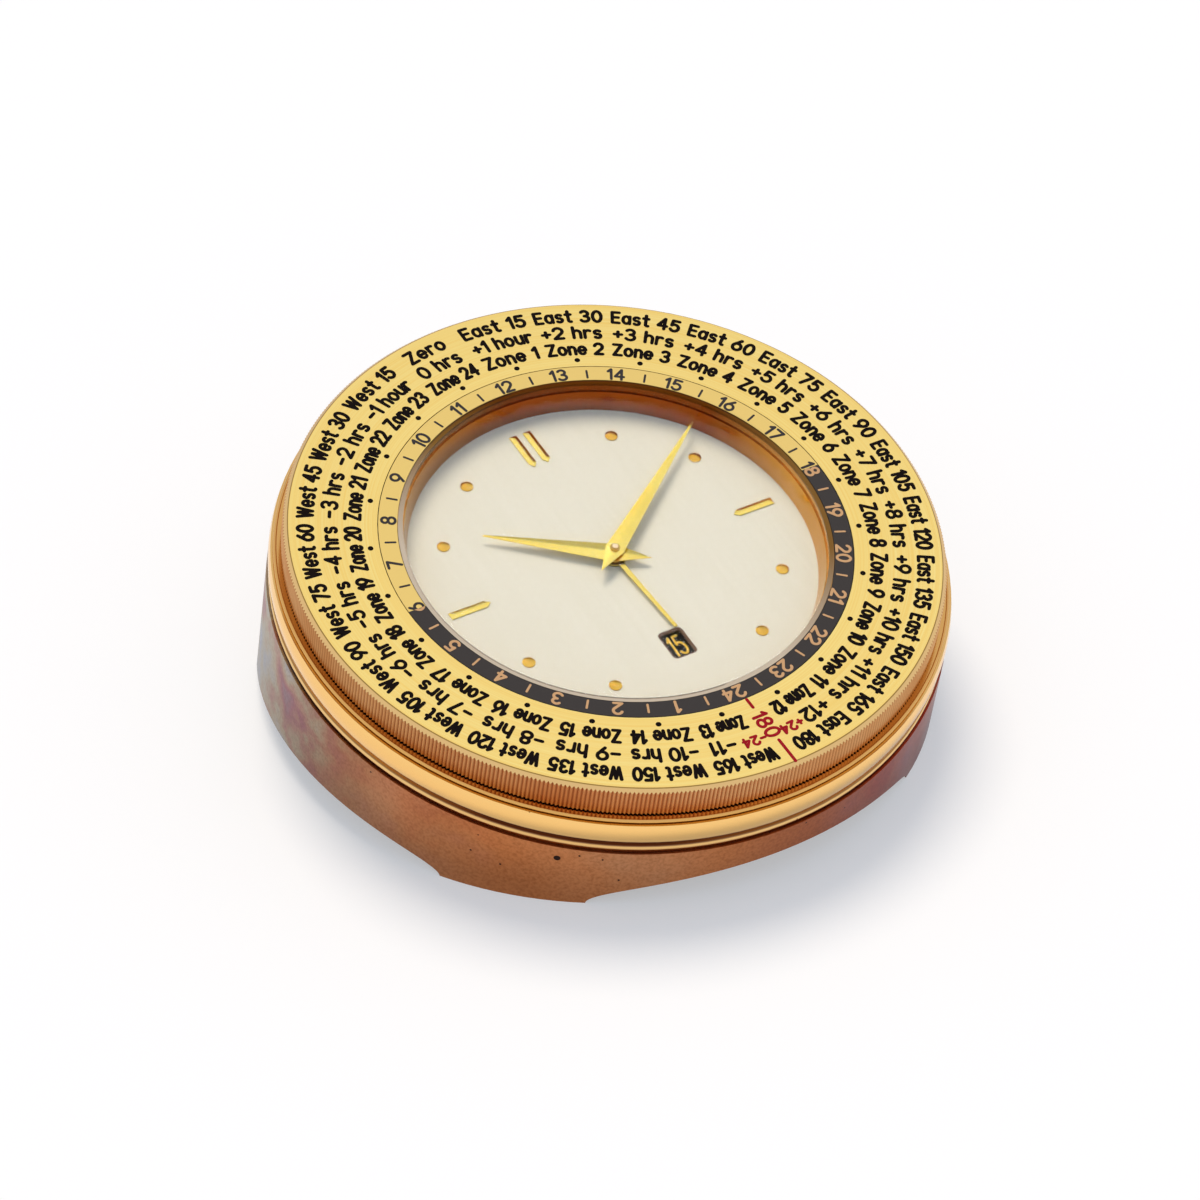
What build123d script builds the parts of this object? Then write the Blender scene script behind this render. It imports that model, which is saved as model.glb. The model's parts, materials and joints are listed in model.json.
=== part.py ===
from build123d import *
import os
from math import atan2, cos, degrees, hypot, radians, sin, tan

# A round table clock with a turning world-time ring, an alarm and a date, in millimetres and degrees.
# Each piece is built in the dial's own frame: x towards 3 o'clock, y towards 12 o'clock, z out of the dial,
# with depths measured down the dial axis from the top face. The clock is then stood on the table, z = 0.

# Case: a drum cut on a slant, with four arches that leave four feet
TILT = 10.0
CASE_RADIUS = 60.0
BASE_DEPTH = 36.3
SKIRT_WALL = 2.0
FLANGE_WIDTH = 8.0
FLANGE_THICKNESS = 2.0
ARCH_HALF_WIDTH = 32.7
ARCH_HEIGHT = 5.8

# Moulded ring: its steps from the top down, and how far each lies inside the case radius
SHOULDER_DEPTH = 6.2
TOP_BEAD_HEIGHT = 0.65
LINE_HEIGHT = 0.15
BAND_HEIGHT = 4.2
COVE_HEIGHT = 1.2
LOWER_BEAD_HEIGHT = 1.2
GROOVE_HEIGHT = 0.4
TOP_BEAD_INSET = 0.7
SHOULDER_INSET = 1.3
LINE_INSET = 1.5
BAND_CROWN = 0.3
COVE_INSET = 0.9
LOWER_BEAD_INSET = 0.3
GROOVE_INSET = 1.0
COLLAR_WIDTH = 3.5
RING_BORE_INSET = 6.0
LEDGE_WIDTH = 2.6
LEDGE_THICKNESS = 3.0

# Turning ring with its coin edge
ZONE_INSET = 2.0
ZONE_THICKNESS = 1.6
ZONE_CHAMFER = 0.8
ZONE_WALL = 2.5
COLLAR_GAP = 0.1
KNURL_COUNT = 500
KNURL_DEPTH = 0.3
KNURL_LIFT = 0.3
RING_GAP = 0.15
SPRING_RADIUS = 0.35
SPRING_ROOM = 0.2
SPRING_DEPTH = 3.9
SPRING_ARC = 345.0

# 24-hour ring, lip, crystal and the wall round the dial
DIAL_RADIUS = 36.06
DIAL_DEPTH = 5.44
REHAUT_FLARE = 0.9
CRYSTAL_SEAT = 0.25
CRYSTAL_DEPTH = 0.6
CRYSTAL_THICKNESS = 1.2
CRYSTAL_GAP = 0.05
LIP_WIDTH = 0.9
LIP_RISE = 0.1
DAY_RING_WIDTH = 3.3
DAY_RING_THICKNESS = 1.2
DAY_RING_GAP = 0.1
SEAT_THICKNESS = 1.0
BEZEL_WALL = 2.0

# Dial and its markers
HOURS = 12
DIAL_THICKNESS = 0.5
DIAL_LAP = 2.3
WINDOW_RADIUS = 21.8
WINDOW_WIDTH = 4.0
WINDOW_HEIGHT = 5.6
WINDOW_CORNER = 0.5
WINDOW_BEVEL = 0.5
WINDOW_BEVEL_DEPTH = 0.3
DOT_MARGIN = 6.36
DOT_RADIUS = 1.15
DOT_RIM = 0.15
DOT_RISE = 0.5
BATON_MARGIN = 3.26
BATON_LENGTH = 8.0
BATON_WIDTH = 1.5
BATON_POINT = 0.9
BATON_RIM = 0.2
BATON_RISE = 0.5
BATON_PAIR_SPACING = 2.8
FOOT_RADIUS = 0.8
FOOT_INSET = 1.76
FOOT_COUNT = 3
FOOT_ANGLE = 30.0

# Hands: heights are above the dial, angles are clockwise from 12 o'clock
MINUTE_MARGIN = 0.7
MINUTE_TAIL = 5.9
MINUTE_WIDTH = 3.4
MINUTE_HEIGHT = 2.3
MINUTE_ANGLE = 54.0
HOUR_LENGTH = 23.1
HOUR_TAIL = 6.6
HOUR_WIDTH = 4.2
HOUR_HEIGHT = 1.35
HOUR_ANGLE = 305.0
HAND_TIP = 0.3
HAND_EDGE = 0.12
HAND_RIDGE = 0.45
ALARM_LENGTH = 19.0
ALARM_WIDTH = 1.0
ALARM_TIP_WIDTH = 0.6
ALARM_THICKNESS = 0.25
ALARM_BOSS_RADIUS = 2.4
ALARM_HEIGHT = 0.6
ALARM_ANGLE = 176.0

# Arbors and pipes on the dial axis
CENTER_ARBOR_RADIUS = 0.525
CENTER_ARBOR_HEIGHT = 3.17
PIPE_WALL = 0.32
PIPE_STEP = 0.2
RUNNING_CLEARANCE = 0.07
FIT_CLEARANCE = 0.01
PASSING_CLEARANCE = 0.4

# Layers under the dial
LAYER_GAP = 0.3
WHEEL_THICKNESS = 0.8
DATE_RING_THICKNESS = 0.6
DATE_RING_GAP = 0.1
DATE_RING_OUTER = 26.2
DATE_TOOTH_CIRCLE = 17.0
DATE_TOOTH_HEIGHT = 1.2
DATE_TOOTH_SHARES = (0.5, 0.2)
DATE_COUNT = 31
CALENDAR_THICKNESS = 0.6
CALENDAR_RIM_WIDTH = 1.5
POST_RADIUS = 1.2
POST_ANGLE = 90.0
JUMPER_WIDTH = 1.0
JUMPER_GAP = 1.0
JUMPER_SWEEP = 40.0
JUMPER_ANGLE = 30.0
STUD_RADIUS = 0.5
STUD_WALL = 0.5
FINGER_LENGTH = 4.4
FINGER_WIDTH = 0.9
MOUNT_THICKNESS = 1.2
MOUNT_BORE = 30.5

# Movement plates, cover and fasteners
FRONT_THICKNESS = 1.5
BACK_RADIUS = 31.0
BACK_THICKNESS = 1.5
PLATE_SPACE = 11.0
PILLAR_RADIUS = 1.8
PILLAR_INSET = 2.7
PILLAR_ANGLES = (50.0, 120.0, 215.0, 345.0)
COVER_WALL = 0.8
COVER_GAP = 3.0
COVER_ROOM = 1.6
COVER_HOLE_GAP = 0.5
COVER_FLANGE = 2.9
SCREW_RADIUS = 0.7
SCREW_HEAD_RADIUS = 1.4
SCREW_HEAD_HEIGHT = 0.9
SCREW_GRIP = 1.8
CASE_SCREW_RADIUS = 1.0
CASE_SCREW_HEAD_RADIUS = 2.0
CASE_SCREW_HEAD_HEIGHT = 1.4
CASE_SCREW_GRIP = 3.0
CASE_SCREW_WALL = 0.8
SLOT_WIDTH = 0.35
SLOT_DEPTH = 0.4
SCREW_COUNT = 4
MOVEMENT_SCREW_INSET = 1.5
CASE_SCREW_ANGLE = 45.0
CARRIER_SCREW_ANGLE = 0.0
BEZEL_SCREW_ANGLE = 22.5
MOVEMENT_SCREW_ANGLE = 80.0
COVER_SCREW_ANGLE = 15.0

# Gears: tooth counts, modules and where each arbor lies round the one that it meshes with
CANNON_TEETH = 14
MINUTE_TEETH = 42
MINUTE_PINION = 12
HOUR_TEETH = 48
HOUR_MODULE = 0.4
DATE_PINION = 20
DATE_WHEEL_TEETH = 40
ALARM_TEETH = 48
ALARM_PINION = 12
MINUTE_WHEEL_DIRECTION = 130.0
DATE_WHEEL_DIRECTION = 250.0
ALARM_SET_DIRECTION = 350.0
BARREL_TEETH = 60
BARREL_MODULE = 0.4
INTERMEDIATE_PINION = 12
INTERMEDIATE_TEETH = 60
INTERMEDIATE_MODULE = 0.35
CENTER_PINION = 12
CENTER_TEETH = 80
CENTER_MODULE = 0.24
THIRD_PINION = 10
THIRD_TEETH = 75
THIRD_MODULE = 0.22
FOURTH_PINION = 10
FOURTH_TEETH = 80
FOURTH_MODULE = 0.2
ESCAPE_PINION = 8
ESCAPE_TEETH = 15
ESCAPE_RADIUS = 4.5
CLUB_TOOTH = 1.1
CLUB_SHARES = (0.6, 0.15)
STRIKE_TEETH = 15
STRIKE_RADIUS = 5.2
STRIKE_PINION = 10
ALARM_BARREL_TEETH = 40
ALARM_BARREL_MODULE = 0.4
INTERMEDIATE_DIRECTION = 225.0
BARREL_DIRECTION = 123.8
THIRD_DIRECTION = 60.0
FOURTH_DIRECTION = 120.0
ESCAPE_DIRECTION = 30.0
PALLET_DIRECTION = 320.0
BALANCE_DIRECTION = 310.0
ALARM_BARREL_RADIUS = 20.2
ALARM_BARREL_DIRECTION = 320.0
STRIKE_DIRECTION = 220.0
TRAIN_ARBOR_RADIUS = 0.7
PIVOT_RADIUS = 0.4
END_SHAKE = 0.1
WHEEL_TOOTH = (0.8, 0.9, 0.5, 0.25)
PINION_TOOTH = (0.5, 1.2, 0.5, 0.3)

# Barrels, escapement and alarm work
DRUM_INSET = 0.9
DRUM_WALL = 0.8
MAINSPRING_TURNS = 10
ALARM_SPRING_TURNS = 6
MAINSPRING_STRIP = 0.3
MAINSPRING_GAP = 0.4
WIND_ARBOR_RADIUS = 1.6
RATCHET_TEETH = 20
RATCHET_RADIUS = 4.6
RATCHET_TOOTH = 0.6
RATCHET_SHARES = (0.8, 0.1)
CLICK_GAP = 0.2
CLICK_LENGTH = 6.0
CLICK_WIDTH = 1.0
PALLET_SPACING = 6.3
PALLET_SPAN = 8.0
PALLET_WIDTH = 1.0
STONE_LENGTH = 1.2
STONE_WIDTH = 0.8
FORK_SPACING = 9.0
ROLLER_RADIUS = 1.2
FORK_GAP = 0.4
BALANCE_RADIUS = 6.5
BALANCE_RIM = 1.2
BALANCE_SPOKE = 1.0
STAFF_RADIUS = 0.6
CUP_RADIUS = 1.4
CUP_DEPTH = 0.6
HAIRSPRING_TURNS = 5
HAIRSPRING_INNER = 1.2
HAIRSPRING_PITCH = 0.65
HAIRSPRING_WIDTH = 0.12
SPIRAL_STEPS = 16
GONG_GAP = 0.8
GONG_WALL = 0.8
GONG_HEIGHT = 5.0
GONG_DROP = 3.3
GONG_POST_RADIUS = 0.6
GONG_POSTS = 3
GONG_POST_ANGLE = 155.0
HAMMER_SPACING = 7.0
HAMMER_DIRECTION = 200.0
HAMMER_TURN = 25.0
HAMMER_HEAD = 1.6
HAMMER_GAP = 0.5
HAMMER_WIDTH = 1.2
VERGE_LENGTH = 1.3
STOP_RADIUS = 1.0
STOP_CIRCLE = 17.4
STOP_DIRECTION = 258.4
STOP_LENGTH = 9.0
STOP_CAP_RADIUS = 2.0
STOP_CAP_HEIGHT = 1.6
STOP_TRAVEL = 1.2
STOP_SPARE = 0.2

# Keys and knobs under the cover
CONTROL_GAP = 0.5
KEY_SPAN = 15.0
KEY_HEIGHT = 5.0
ALARM_KEY_SPAN = 11.0
ALARM_KEY_HEIGHT = 3.2
KEY_THICKNESS = 1.6
KEY_HUB_RADIUS = 2.5
KEY_FOOT = 1.0
SOCKET_SHARE = 0.6
KEY_CORNER = 0.9
HAND_KNOB_RADIUS = 5.0
HAND_KNOB_HEIGHT = 4.2
ALARM_KNOB_RADIUS = 4.0
ALARM_KNOB_HEIGHT = 3.6
KNOB_FLUTES = 24
KNOB_FLUTE_DEPTH = 0.35
SET_ARBOR_RADIUS = 0.8


def polar(radius, angle, start=(0.0, 0.0)):
    """The point at a radius and an angle, anticlockwise from 3 o'clock, round a start."""
    return start[0] + radius * cos(radians(angle)), start[1] + radius * sin(radians(angle))


def spacing(teeth_a, teeth_b, module):
    """The centre distance of two meshed gears."""
    return (teeth_a + teeth_b) * module / 2


def mesh_phase(phase, teeth, other_teeth, direction):
    """The tooth angle that puts a gap of the other gear opposite this gear's teeth."""
    lead = (phase - direction) * teeth / other_teeth
    return direction + 180 - lead + 180 / other_teeth


# Radii that follow from the driving dimensions
KNURL_RADIUS = CASE_RADIUS - ZONE_INSET
COLLAR_RADIUS = KNURL_RADIUS - ZONE_WALL - RUNNING_CLEARANCE
RING_BORE = CASE_RADIUS - RING_BORE_INSET
CRYSTAL_RADIUS = DIAL_RADIUS + REHAUT_FLARE + CRYSTAL_SEAT
LIP_RADIUS = CRYSTAL_RADIUS + LIP_WIDTH
DAY_RING_INNER = LIP_RADIUS + DAY_RING_GAP
DAY_RING_OUTER = DAY_RING_INNER + DAY_RING_WIDTH
BEZEL_BORE = DIAL_RADIUS + DIAL_LAP + DAY_RING_GAP
BEZEL_RADIUS = BEZEL_BORE + BEZEL_WALL
CALENDAR_RADIUS = BEZEL_BORE - DAY_RING_GAP
FOOT_CIRCLE = CALENDAR_RADIUS - FOOT_INSET
DOT_CIRCLE = DIAL_RADIUS - DOT_MARGIN
BATON_OUTER = DIAL_RADIUS - BATON_MARGIN
BATON_INNER = BATON_OUTER - BATON_LENGTH
MINUTE_LENGTH = DIAL_RADIUS - MINUTE_MARGIN

# Depths that follow from the driving dimensions
KNURL_BOTTOM = SHOULDER_DEPTH - KNURL_LIFT
COLLAR_TOP = ZONE_THICKNESS + COLLAR_GAP
BAND_TOP = SHOULDER_DEPTH + TOP_BEAD_HEIGHT + LINE_HEIGHT
BAND_BOTTOM = BAND_TOP + BAND_HEIGHT
COVE_BOTTOM = BAND_BOTTOM + COVE_HEIGHT
BEAD_BOTTOM = COVE_BOTTOM + LOWER_BEAD_HEIGHT
SKIRT_TOP = BEAD_BOTTOM + GROOVE_HEIGHT
DIAL_BOTTOM = DIAL_DEPTH + DIAL_THICKNESS
DATE_TOP = DIAL_BOTTOM + LAYER_GAP
DATE_BOTTOM = DATE_TOP + DATE_RING_THICKNESS
CALENDAR_TOP = DATE_BOTTOM + DATE_RING_GAP
CALENDAR_BOTTOM = CALENDAR_TOP + CALENDAR_THICKNESS


def layer(start, index):
    """The top and bottom depth of a wheel layer, counted down from a plate's face."""
    top = start + LAYER_GAP + index * (WHEEL_THICKNESS + LAYER_GAP)
    return top, top + WHEEL_THICKNESS


ALARM_LAYER = layer(CALENDAR_BOTTOM, 0)
DATE_LAYER = layer(CALENDAR_BOTTOM, 1)
HOUR_LAYER = layer(CALENDAR_BOTTOM, 2)
MINUTE_LAYER = layer(CALENDAR_BOTTOM, 3)
FRONT_TOP = MINUTE_LAYER[1] + LAYER_GAP
FRONT_BOTTOM = FRONT_TOP + FRONT_THICKNESS
MOUNT_TOP = FRONT_TOP - MOUNT_THICKNESS
SUNK_SEAT = FRONT_TOP - SCREW_HEAD_HEIGHT
CENTER_LAYER = layer(FRONT_BOTTOM, 0)
INTERMEDIATE_LAYER = layer(FRONT_BOTTOM, 1)
THIRD_LAYER = layer(FRONT_BOTTOM, 2)
FOURTH_LAYER = layer(FRONT_BOTTOM, 3)
SPRING_LAYER = layer(FRONT_BOTTOM, 4)
ESCAPE_LAYER = layer(FRONT_BOTTOM, 5)
BALANCE_LAYER = layer(FRONT_BOTTOM, 6)
BARREL_LAYER = layer(FRONT_BOTTOM, 7)
BACK_TOP = FRONT_BOTTOM + PLATE_SPACE
BACK_BOTTOM = BACK_TOP + BACK_THICKNESS
RATCHET_LAYER = layer(BACK_BOTTOM, 0)
COVER_INSIDE = BACK_BOTTOM + COVER_ROOM
COVER_BOTTOM = COVER_INSIDE + COVER_WALL
CONTROL_TOP = COVER_BOTTOM + CONTROL_GAP
COVER_INNER = BACK_RADIUS + COVER_GAP
COVER_RADIUS = COVER_INNER + COVER_WALL
GONG_RADIUS = COVER_INNER - GONG_GAP
FRONT_RADIUS = COVER_RADIUS + COVER_FLANGE

# Pipes on the dial axis, from the arbor out
CANNON_BORE = CENTER_ARBOR_RADIUS + FIT_CLEARANCE
CANNON_RADIUS = CANNON_BORE + PIPE_WALL
HOUR_BORE = CANNON_RADIUS + RUNNING_CLEARANCE
HOUR_PIPE = HOUR_BORE + PIPE_WALL
ALARM_BORE = HOUR_PIPE + RUNNING_CLEARANCE
ALARM_PIPE = ALARM_BORE + PIPE_WALL
DIAL_HOLE = ALARM_PIPE + PASSING_CLEARANCE

# Where the arbors stand
MOTION_SPACING = spacing(MINUTE_PINION, HOUR_TEETH, HOUR_MODULE)
CANNON_MODULE = 2 * MOTION_SPACING / (CANNON_TEETH + MINUTE_TEETH)
DATE_MODULE = 2 * MOTION_SPACING / (DATE_PINION + DATE_WHEEL_TEETH)
ALARM_MODULE = 2 * MOTION_SPACING / (ALARM_TEETH + ALARM_PINION)
CENTER_AT = (0.0, 0.0)
MINUTE_AT = polar(MOTION_SPACING, MINUTE_WHEEL_DIRECTION)
DATE_AT = polar(MOTION_SPACING, DATE_WHEEL_DIRECTION)
ALARM_SET_AT = polar(MOTION_SPACING, ALARM_SET_DIRECTION)
INTERMEDIATE_SPACING = spacing(INTERMEDIATE_TEETH, CENTER_PINION, INTERMEDIATE_MODULE)
INTERMEDIATE_AT = polar(INTERMEDIATE_SPACING, INTERMEDIATE_DIRECTION)
BARREL_SPACING = spacing(BARREL_TEETH, INTERMEDIATE_PINION, BARREL_MODULE)
BARREL_AT = polar(BARREL_SPACING, BARREL_DIRECTION, INTERMEDIATE_AT)
THIRD_AT = polar(spacing(CENTER_TEETH, THIRD_PINION, CENTER_MODULE), THIRD_DIRECTION)
FOURTH_AT = polar(spacing(THIRD_TEETH, FOURTH_PINION, THIRD_MODULE), FOURTH_DIRECTION, THIRD_AT)
ESCAPE_AT = polar(spacing(FOURTH_TEETH, ESCAPE_PINION, FOURTH_MODULE), ESCAPE_DIRECTION, FOURTH_AT)
PALLET_AT = polar(PALLET_SPACING, PALLET_DIRECTION, ESCAPE_AT)
BALANCE_AT = polar(FORK_SPACING, BALANCE_DIRECTION, PALLET_AT)
ALARM_BARREL_AT = polar(ALARM_BARREL_RADIUS, ALARM_BARREL_DIRECTION)
STRIKE_SPACING = spacing(ALARM_BARREL_TEETH, STRIKE_PINION, ALARM_BARREL_MODULE)
STRIKE_AT = polar(STRIKE_SPACING, STRIKE_DIRECTION, ALARM_BARREL_AT)
HAMMER_AT = polar(HAMMER_SPACING, HAMMER_DIRECTION, STRIKE_AT)
STOP_AT = polar(STOP_CIRCLE, STOP_DIRECTION)
PIVOTS_AT = (INTERMEDIATE_AT, THIRD_AT, FOURTH_AT, ESCAPE_AT, PALLET_AT, STRIKE_AT, HAMMER_AT)
WINDERS_AT = (BARREL_AT, ALARM_BARREL_AT)

# The table, as the dial's frame sees it
TABLE = Pos(0, 0, -BASE_DEPTH) * Rot(-TILT, 0, 0)


def cylinder(radius, top, bottom, at=CENTER_AT):
    """A round bar between two depths."""
    base = Pos(at[0], at[1], -bottom)
    return base * Cylinder(radius, bottom - top, align=(Align.CENTER, Align.CENTER, Align.MIN))


def ring(outer, inner, top, bottom, at=CENTER_AT):
    """A flat ring or a tube between two depths."""
    return cylinder(outer, top, bottom, at) - cylinder(inner, top, bottom, at)


def drilled(body, radius, top, bottom, places):
    """A body with one round hole at each place."""
    for place in places:
        body -= cylinder(radius, top, bottom, place)
    return body


def prism(points, top, bottom, at=CENTER_AT):
    """An outline drawn out between two depths."""
    face = make_face(Polyline(*points, close=True))
    return Pos(at[0], at[1], -bottom) * extrude(face, amount=bottom - top, dir=(0, 0, 1))


def turned(start, *steps):
    """A solid of revolution. A step is a (radius, depth) point, or a (through, end) pair for an arc."""
    edges = []
    here = start
    for step in steps + (start,):
        arc = isinstance(step[0], tuple)
        end = step[1] if arc else step
        a, b = (here[0], -here[1]), (end[0], -end[1])
        edges.append(ThreePointArc(a, (step[0][0], -step[0][1]), b) if arc else Line(a, b))
        here = end
    return revolve(Plane.XZ * make_face(edges), axis=Axis.Z)


def tooth_outline(teeth, root, tip, root_share, tip_share, phase):
    """Straight-sided teeth: a share of the pitch is as wide as the tooth at its root and at its tip."""
    pitch = 360 / teeth
    corners = ((-root_share, root), (-tip_share, tip), (tip_share, tip), (root_share, root))
    return [polar(r, phase + pitch * (k + s / 2)) for k in range(teeth) for s, r in corners]


def gear(teeth, module, form, phase, depths, at=CENTER_AT):
    """A toothed wheel. The form is addendum and dedendum in modules, then the tooth's shares of the pitch."""
    addendum, dedendum, root_share, tip_share = form
    pitch_radius = teeth * module / 2
    root, tip = pitch_radius - dedendum * module, pitch_radius + addendum * module
    return prism(tooth_outline(teeth, root, tip, root_share, tip_share, phase), *depths, at)


def fluted(radius, flute_depth, count, top, bottom, at=CENTER_AT):
    """A bar with straight V-shaped flutes round it."""
    steps = 360 / (2 * count)
    points = [polar(radius - flute_depth * (k % 2), k * steps) for k in range(2 * count)]
    return prism(points, top, bottom, at)


def around(radius, count, first=0.0):
    """Evenly spaced places on a circle."""
    return [polar(radius, first + 360 * k / count) for k in range(count)]


def bar(start, end, width, depths):
    """A straight flat bar from one place to another."""
    length = hypot(end[0] - start[0], end[1] - start[1])
    turn = degrees(atan2(end[1] - start[1], end[0] - start[0]))
    flat = Box(length, width, depths[1] - depths[0], align=(Align.MIN, Align.CENTER, Align.MIN))
    return Pos(start[0], start[1], -depths[1]) * Rot(0, 0, turn) * flat


def faceted(faces):
    """A closed solid from flat faces, each given by its corners."""
    return Solid(Shell([Face(Wire.make_polygon([Vector(*p) for p in face])) for face in faces]))


def pointed(angle, body, depth):
    """A piece drawn towards 12 o'clock, turned clockwise to its angle and sunk to its depth."""
    return Pos(0, 0, -depth) * Rot(0, 0, -angle) * body


def screw(at, seat, tip, radius=SCREW_RADIUS, head=SCREW_HEAD_RADIUS, head_height=SCREW_HEAD_HEIGHT):
    """A slotted screw whose head lies below its seat and whose shank rises to its tip."""
    body = cylinder(radius, tip, seat, at) + cylinder(head, seat, seat + head_height, at)
    slot_top = seat + head_height - SLOT_DEPTH
    slot = bar((at[0] - head, at[1]), (at[0] + head, at[1]), SLOT_WIDTH, (slot_top, seat + head_height))
    return body - slot


# Places of the fasteners
CASE_SCREW_CIRCLE = RING_BORE + CASE_SCREW_RADIUS + CASE_SCREW_WALL
CASE_SCREWS_AT = around(CASE_SCREW_CIRCLE, SCREW_COUNT, CASE_SCREW_ANGLE)
CARRIER_SCREW_CIRCLE = RING_BORE - SCREW_HEAD_RADIUS - RING_GAP
CARRIER_SCREWS_AT = around(CARRIER_SCREW_CIRCLE, SCREW_COUNT, CARRIER_SCREW_ANGLE)
BEZEL_SCREWS_AT = around((BEZEL_BORE + BEZEL_RADIUS) / 2, SCREW_COUNT, BEZEL_SCREW_ANGLE)
MOVEMENT_SCREWS_AT = around(MOUNT_BORE + MOVEMENT_SCREW_INSET, SCREW_COUNT, MOVEMENT_SCREW_ANGLE)
COVER_SCREWS_AT = around(COVER_RADIUS + COVER_FLANGE / 2, SCREW_COUNT, COVER_SCREW_ANGLE)
PILLARS_AT = [polar(BACK_RADIUS - PILLAR_INSET, angle) for angle in PILLAR_ANGLES]
DIAL_FEET_AT = around(FOOT_CIRCLE, FOOT_COUNT, FOOT_ANGLE)
CALENDAR_POSTS_AT = around(FOOT_CIRCLE, FOOT_COUNT, POST_ANGLE)
GONG_POSTS_AT = around(GONG_RADIUS - GONG_WALL / 2, GONG_POSTS, GONG_POST_ANGLE)
SCREW_HOLE = SCREW_RADIUS + FIT_CLEARANCE
CASE_SCREW_HOLE = CASE_SCREW_RADIUS + FIT_CLEARANCE


def case_skirt():
    """The drum, cut off by the table and by four arches."""
    deepest = BASE_DEPTH + 2 * CASE_RADIUS * tan(radians(TILT))
    flange_bottom = SKIRT_TOP + FLANGE_THICKNESS
    inside = CASE_RADIUS - SKIRT_WALL
    body = cylinder(CASE_RADIUS, SKIRT_TOP, deepest) - cylinder(inside, flange_bottom, deepest)
    body -= cylinder(inside - FLANGE_WIDTH, SKIRT_TOP, flange_bottom)
    body = drilled(body, CASE_SCREW_HOLE, SKIRT_TOP, flange_bottom, CASE_SCREWS_AT)
    reach = 2 * CASE_RADIUS
    body -= TABLE * Box(2 * reach, 2 * reach, deepest, align=(Align.CENTER, Align.CENTER, Align.MAX))
    arch = Ellipse(ARCH_HALF_WIDTH, ARCH_HEIGHT)
    for plane in (Plane.XZ, Plane.YZ):
        body -= TABLE * extrude(plane * arch, amount=reach, both=True)
    return body


def case_ring():
    """The polished ring: collar, shoulder, bead, fine line, crowned band, cove, bead and groove."""
    bead, line = CASE_RADIUS - TOP_BEAD_INSET, CASE_RADIUS - LINE_INSET
    band, cove = CASE_RADIUS - BAND_CROWN, CASE_RADIUS - COVE_INSET
    shoulder, groove = CASE_RADIUS - SHOULDER_INSET, CASE_RADIUS - GROOVE_INSET
    low_bead = CASE_RADIUS - LOWER_BEAD_INSET
    bead_bottom, line_bottom = SHOULDER_DEPTH + TOP_BEAD_HEIGHT, BAND_TOP
    cove_middle = BAND_BOTTOM + COVE_HEIGHT / 2
    collar_bore = COLLAR_RADIUS - COLLAR_WIDTH
    ledge = RING_BORE - LEDGE_WIDTH
    groove_top, groove_bottom = SPRING_DEPTH - SPRING_RADIUS, SPRING_DEPTH + SPRING_RADIUS
    groove_floor = COLLAR_RADIUS - 2 * SPRING_RADIUS
    body = turned(
        (collar_bore, COLLAR_TOP),
        (COLLAR_RADIUS, COLLAR_TOP),
        (COLLAR_RADIUS, groove_top),
        (groove_floor, groove_top),
        (groove_floor, groove_bottom),
        (COLLAR_RADIUS, groove_bottom),
        (COLLAR_RADIUS, SHOULDER_DEPTH),
        (shoulder, SHOULDER_DEPTH),
        ((bead, (SHOULDER_DEPTH + bead_bottom) / 2), (shoulder, bead_bottom)),
        (line, bead_bottom),
        (line, line_bottom),
        (band, line_bottom),
        ((CASE_RADIUS, (BAND_TOP + BAND_BOTTOM) / 2), (band, BAND_BOTTOM)),
        ((cove + BAND_CROWN / 2, cove_middle), (cove, COVE_BOTTOM)),
        ((low_bead, (COVE_BOTTOM + BEAD_BOTTOM) / 2), (cove, BEAD_BOTTOM)),
        (groove, BEAD_BOTTOM),
        (groove, SKIRT_TOP),
        (RING_BORE, SKIRT_TOP),
        (RING_BORE, MOUNT_TOP),
        (ledge, MOUNT_TOP),
        (ledge, MOUNT_TOP - LEDGE_THICKNESS),
        (collar_bore, MOUNT_TOP - LEDGE_THICKNESS),
    )
    body = drilled(body, CASE_SCREW_HOLE, SKIRT_TOP - CASE_SCREW_GRIP, SKIRT_TOP, CASE_SCREWS_AT)
    return drilled(body, SCREW_HOLE, MOUNT_TOP - SCREW_GRIP, MOUNT_TOP, CARRIER_SCREWS_AT)


def case_screws():
    seat, tip = SKIRT_TOP + FLANGE_THICKNESS, SKIRT_TOP - CASE_SCREW_GRIP
    sizes = (CASE_SCREW_RADIUS, CASE_SCREW_HEAD_RADIUS, CASE_SCREW_HEAD_HEIGHT)
    return [screw(at, seat, tip, *sizes) for at in CASE_SCREWS_AT]


def zone_ring():
    """The turning ring: a plate with a chamfered coin edge, a wall inside and a groove for the spring."""
    bore = DAY_RING_OUTER + RING_GAP
    wall = KNURL_RADIUS - ZONE_WALL
    blank = cylinder(KNURL_RADIUS, 0, KNURL_BOTTOM)
    blank = chamfer(blank.edges().sort_by(Axis.Z)[-1], ZONE_CHAMFER)
    body = blank & fluted(KNURL_RADIUS, KNURL_DEPTH, KNURL_COUNT, 0, KNURL_BOTTOM)
    body -= cylinder(bore, 0, KNURL_BOTTOM)
    body -= cylinder(wall, ZONE_THICKNESS, KNURL_BOTTOM)
    room = SPRING_RADIUS + SPRING_ROOM
    return body - cylinder(wall + room, SPRING_DEPTH - room, SPRING_DEPTH + room)


def bezel_spring():
    """The round wire that snaps into the collar and keeps the turning ring down."""
    start = Plane((COLLAR_RADIUS - SPRING_RADIUS + SPRING_ROOM / 2, 0, -SPRING_DEPTH), z_dir=(0, 1, 0))
    return revolve(start * Circle(SPRING_RADIUS), axis=Axis.Z, revolution_arc=SPRING_ARC)


def day_ring():
    return ring(DAY_RING_OUTER, DAY_RING_INNER, 0, DAY_RING_THICKNESS)


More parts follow.
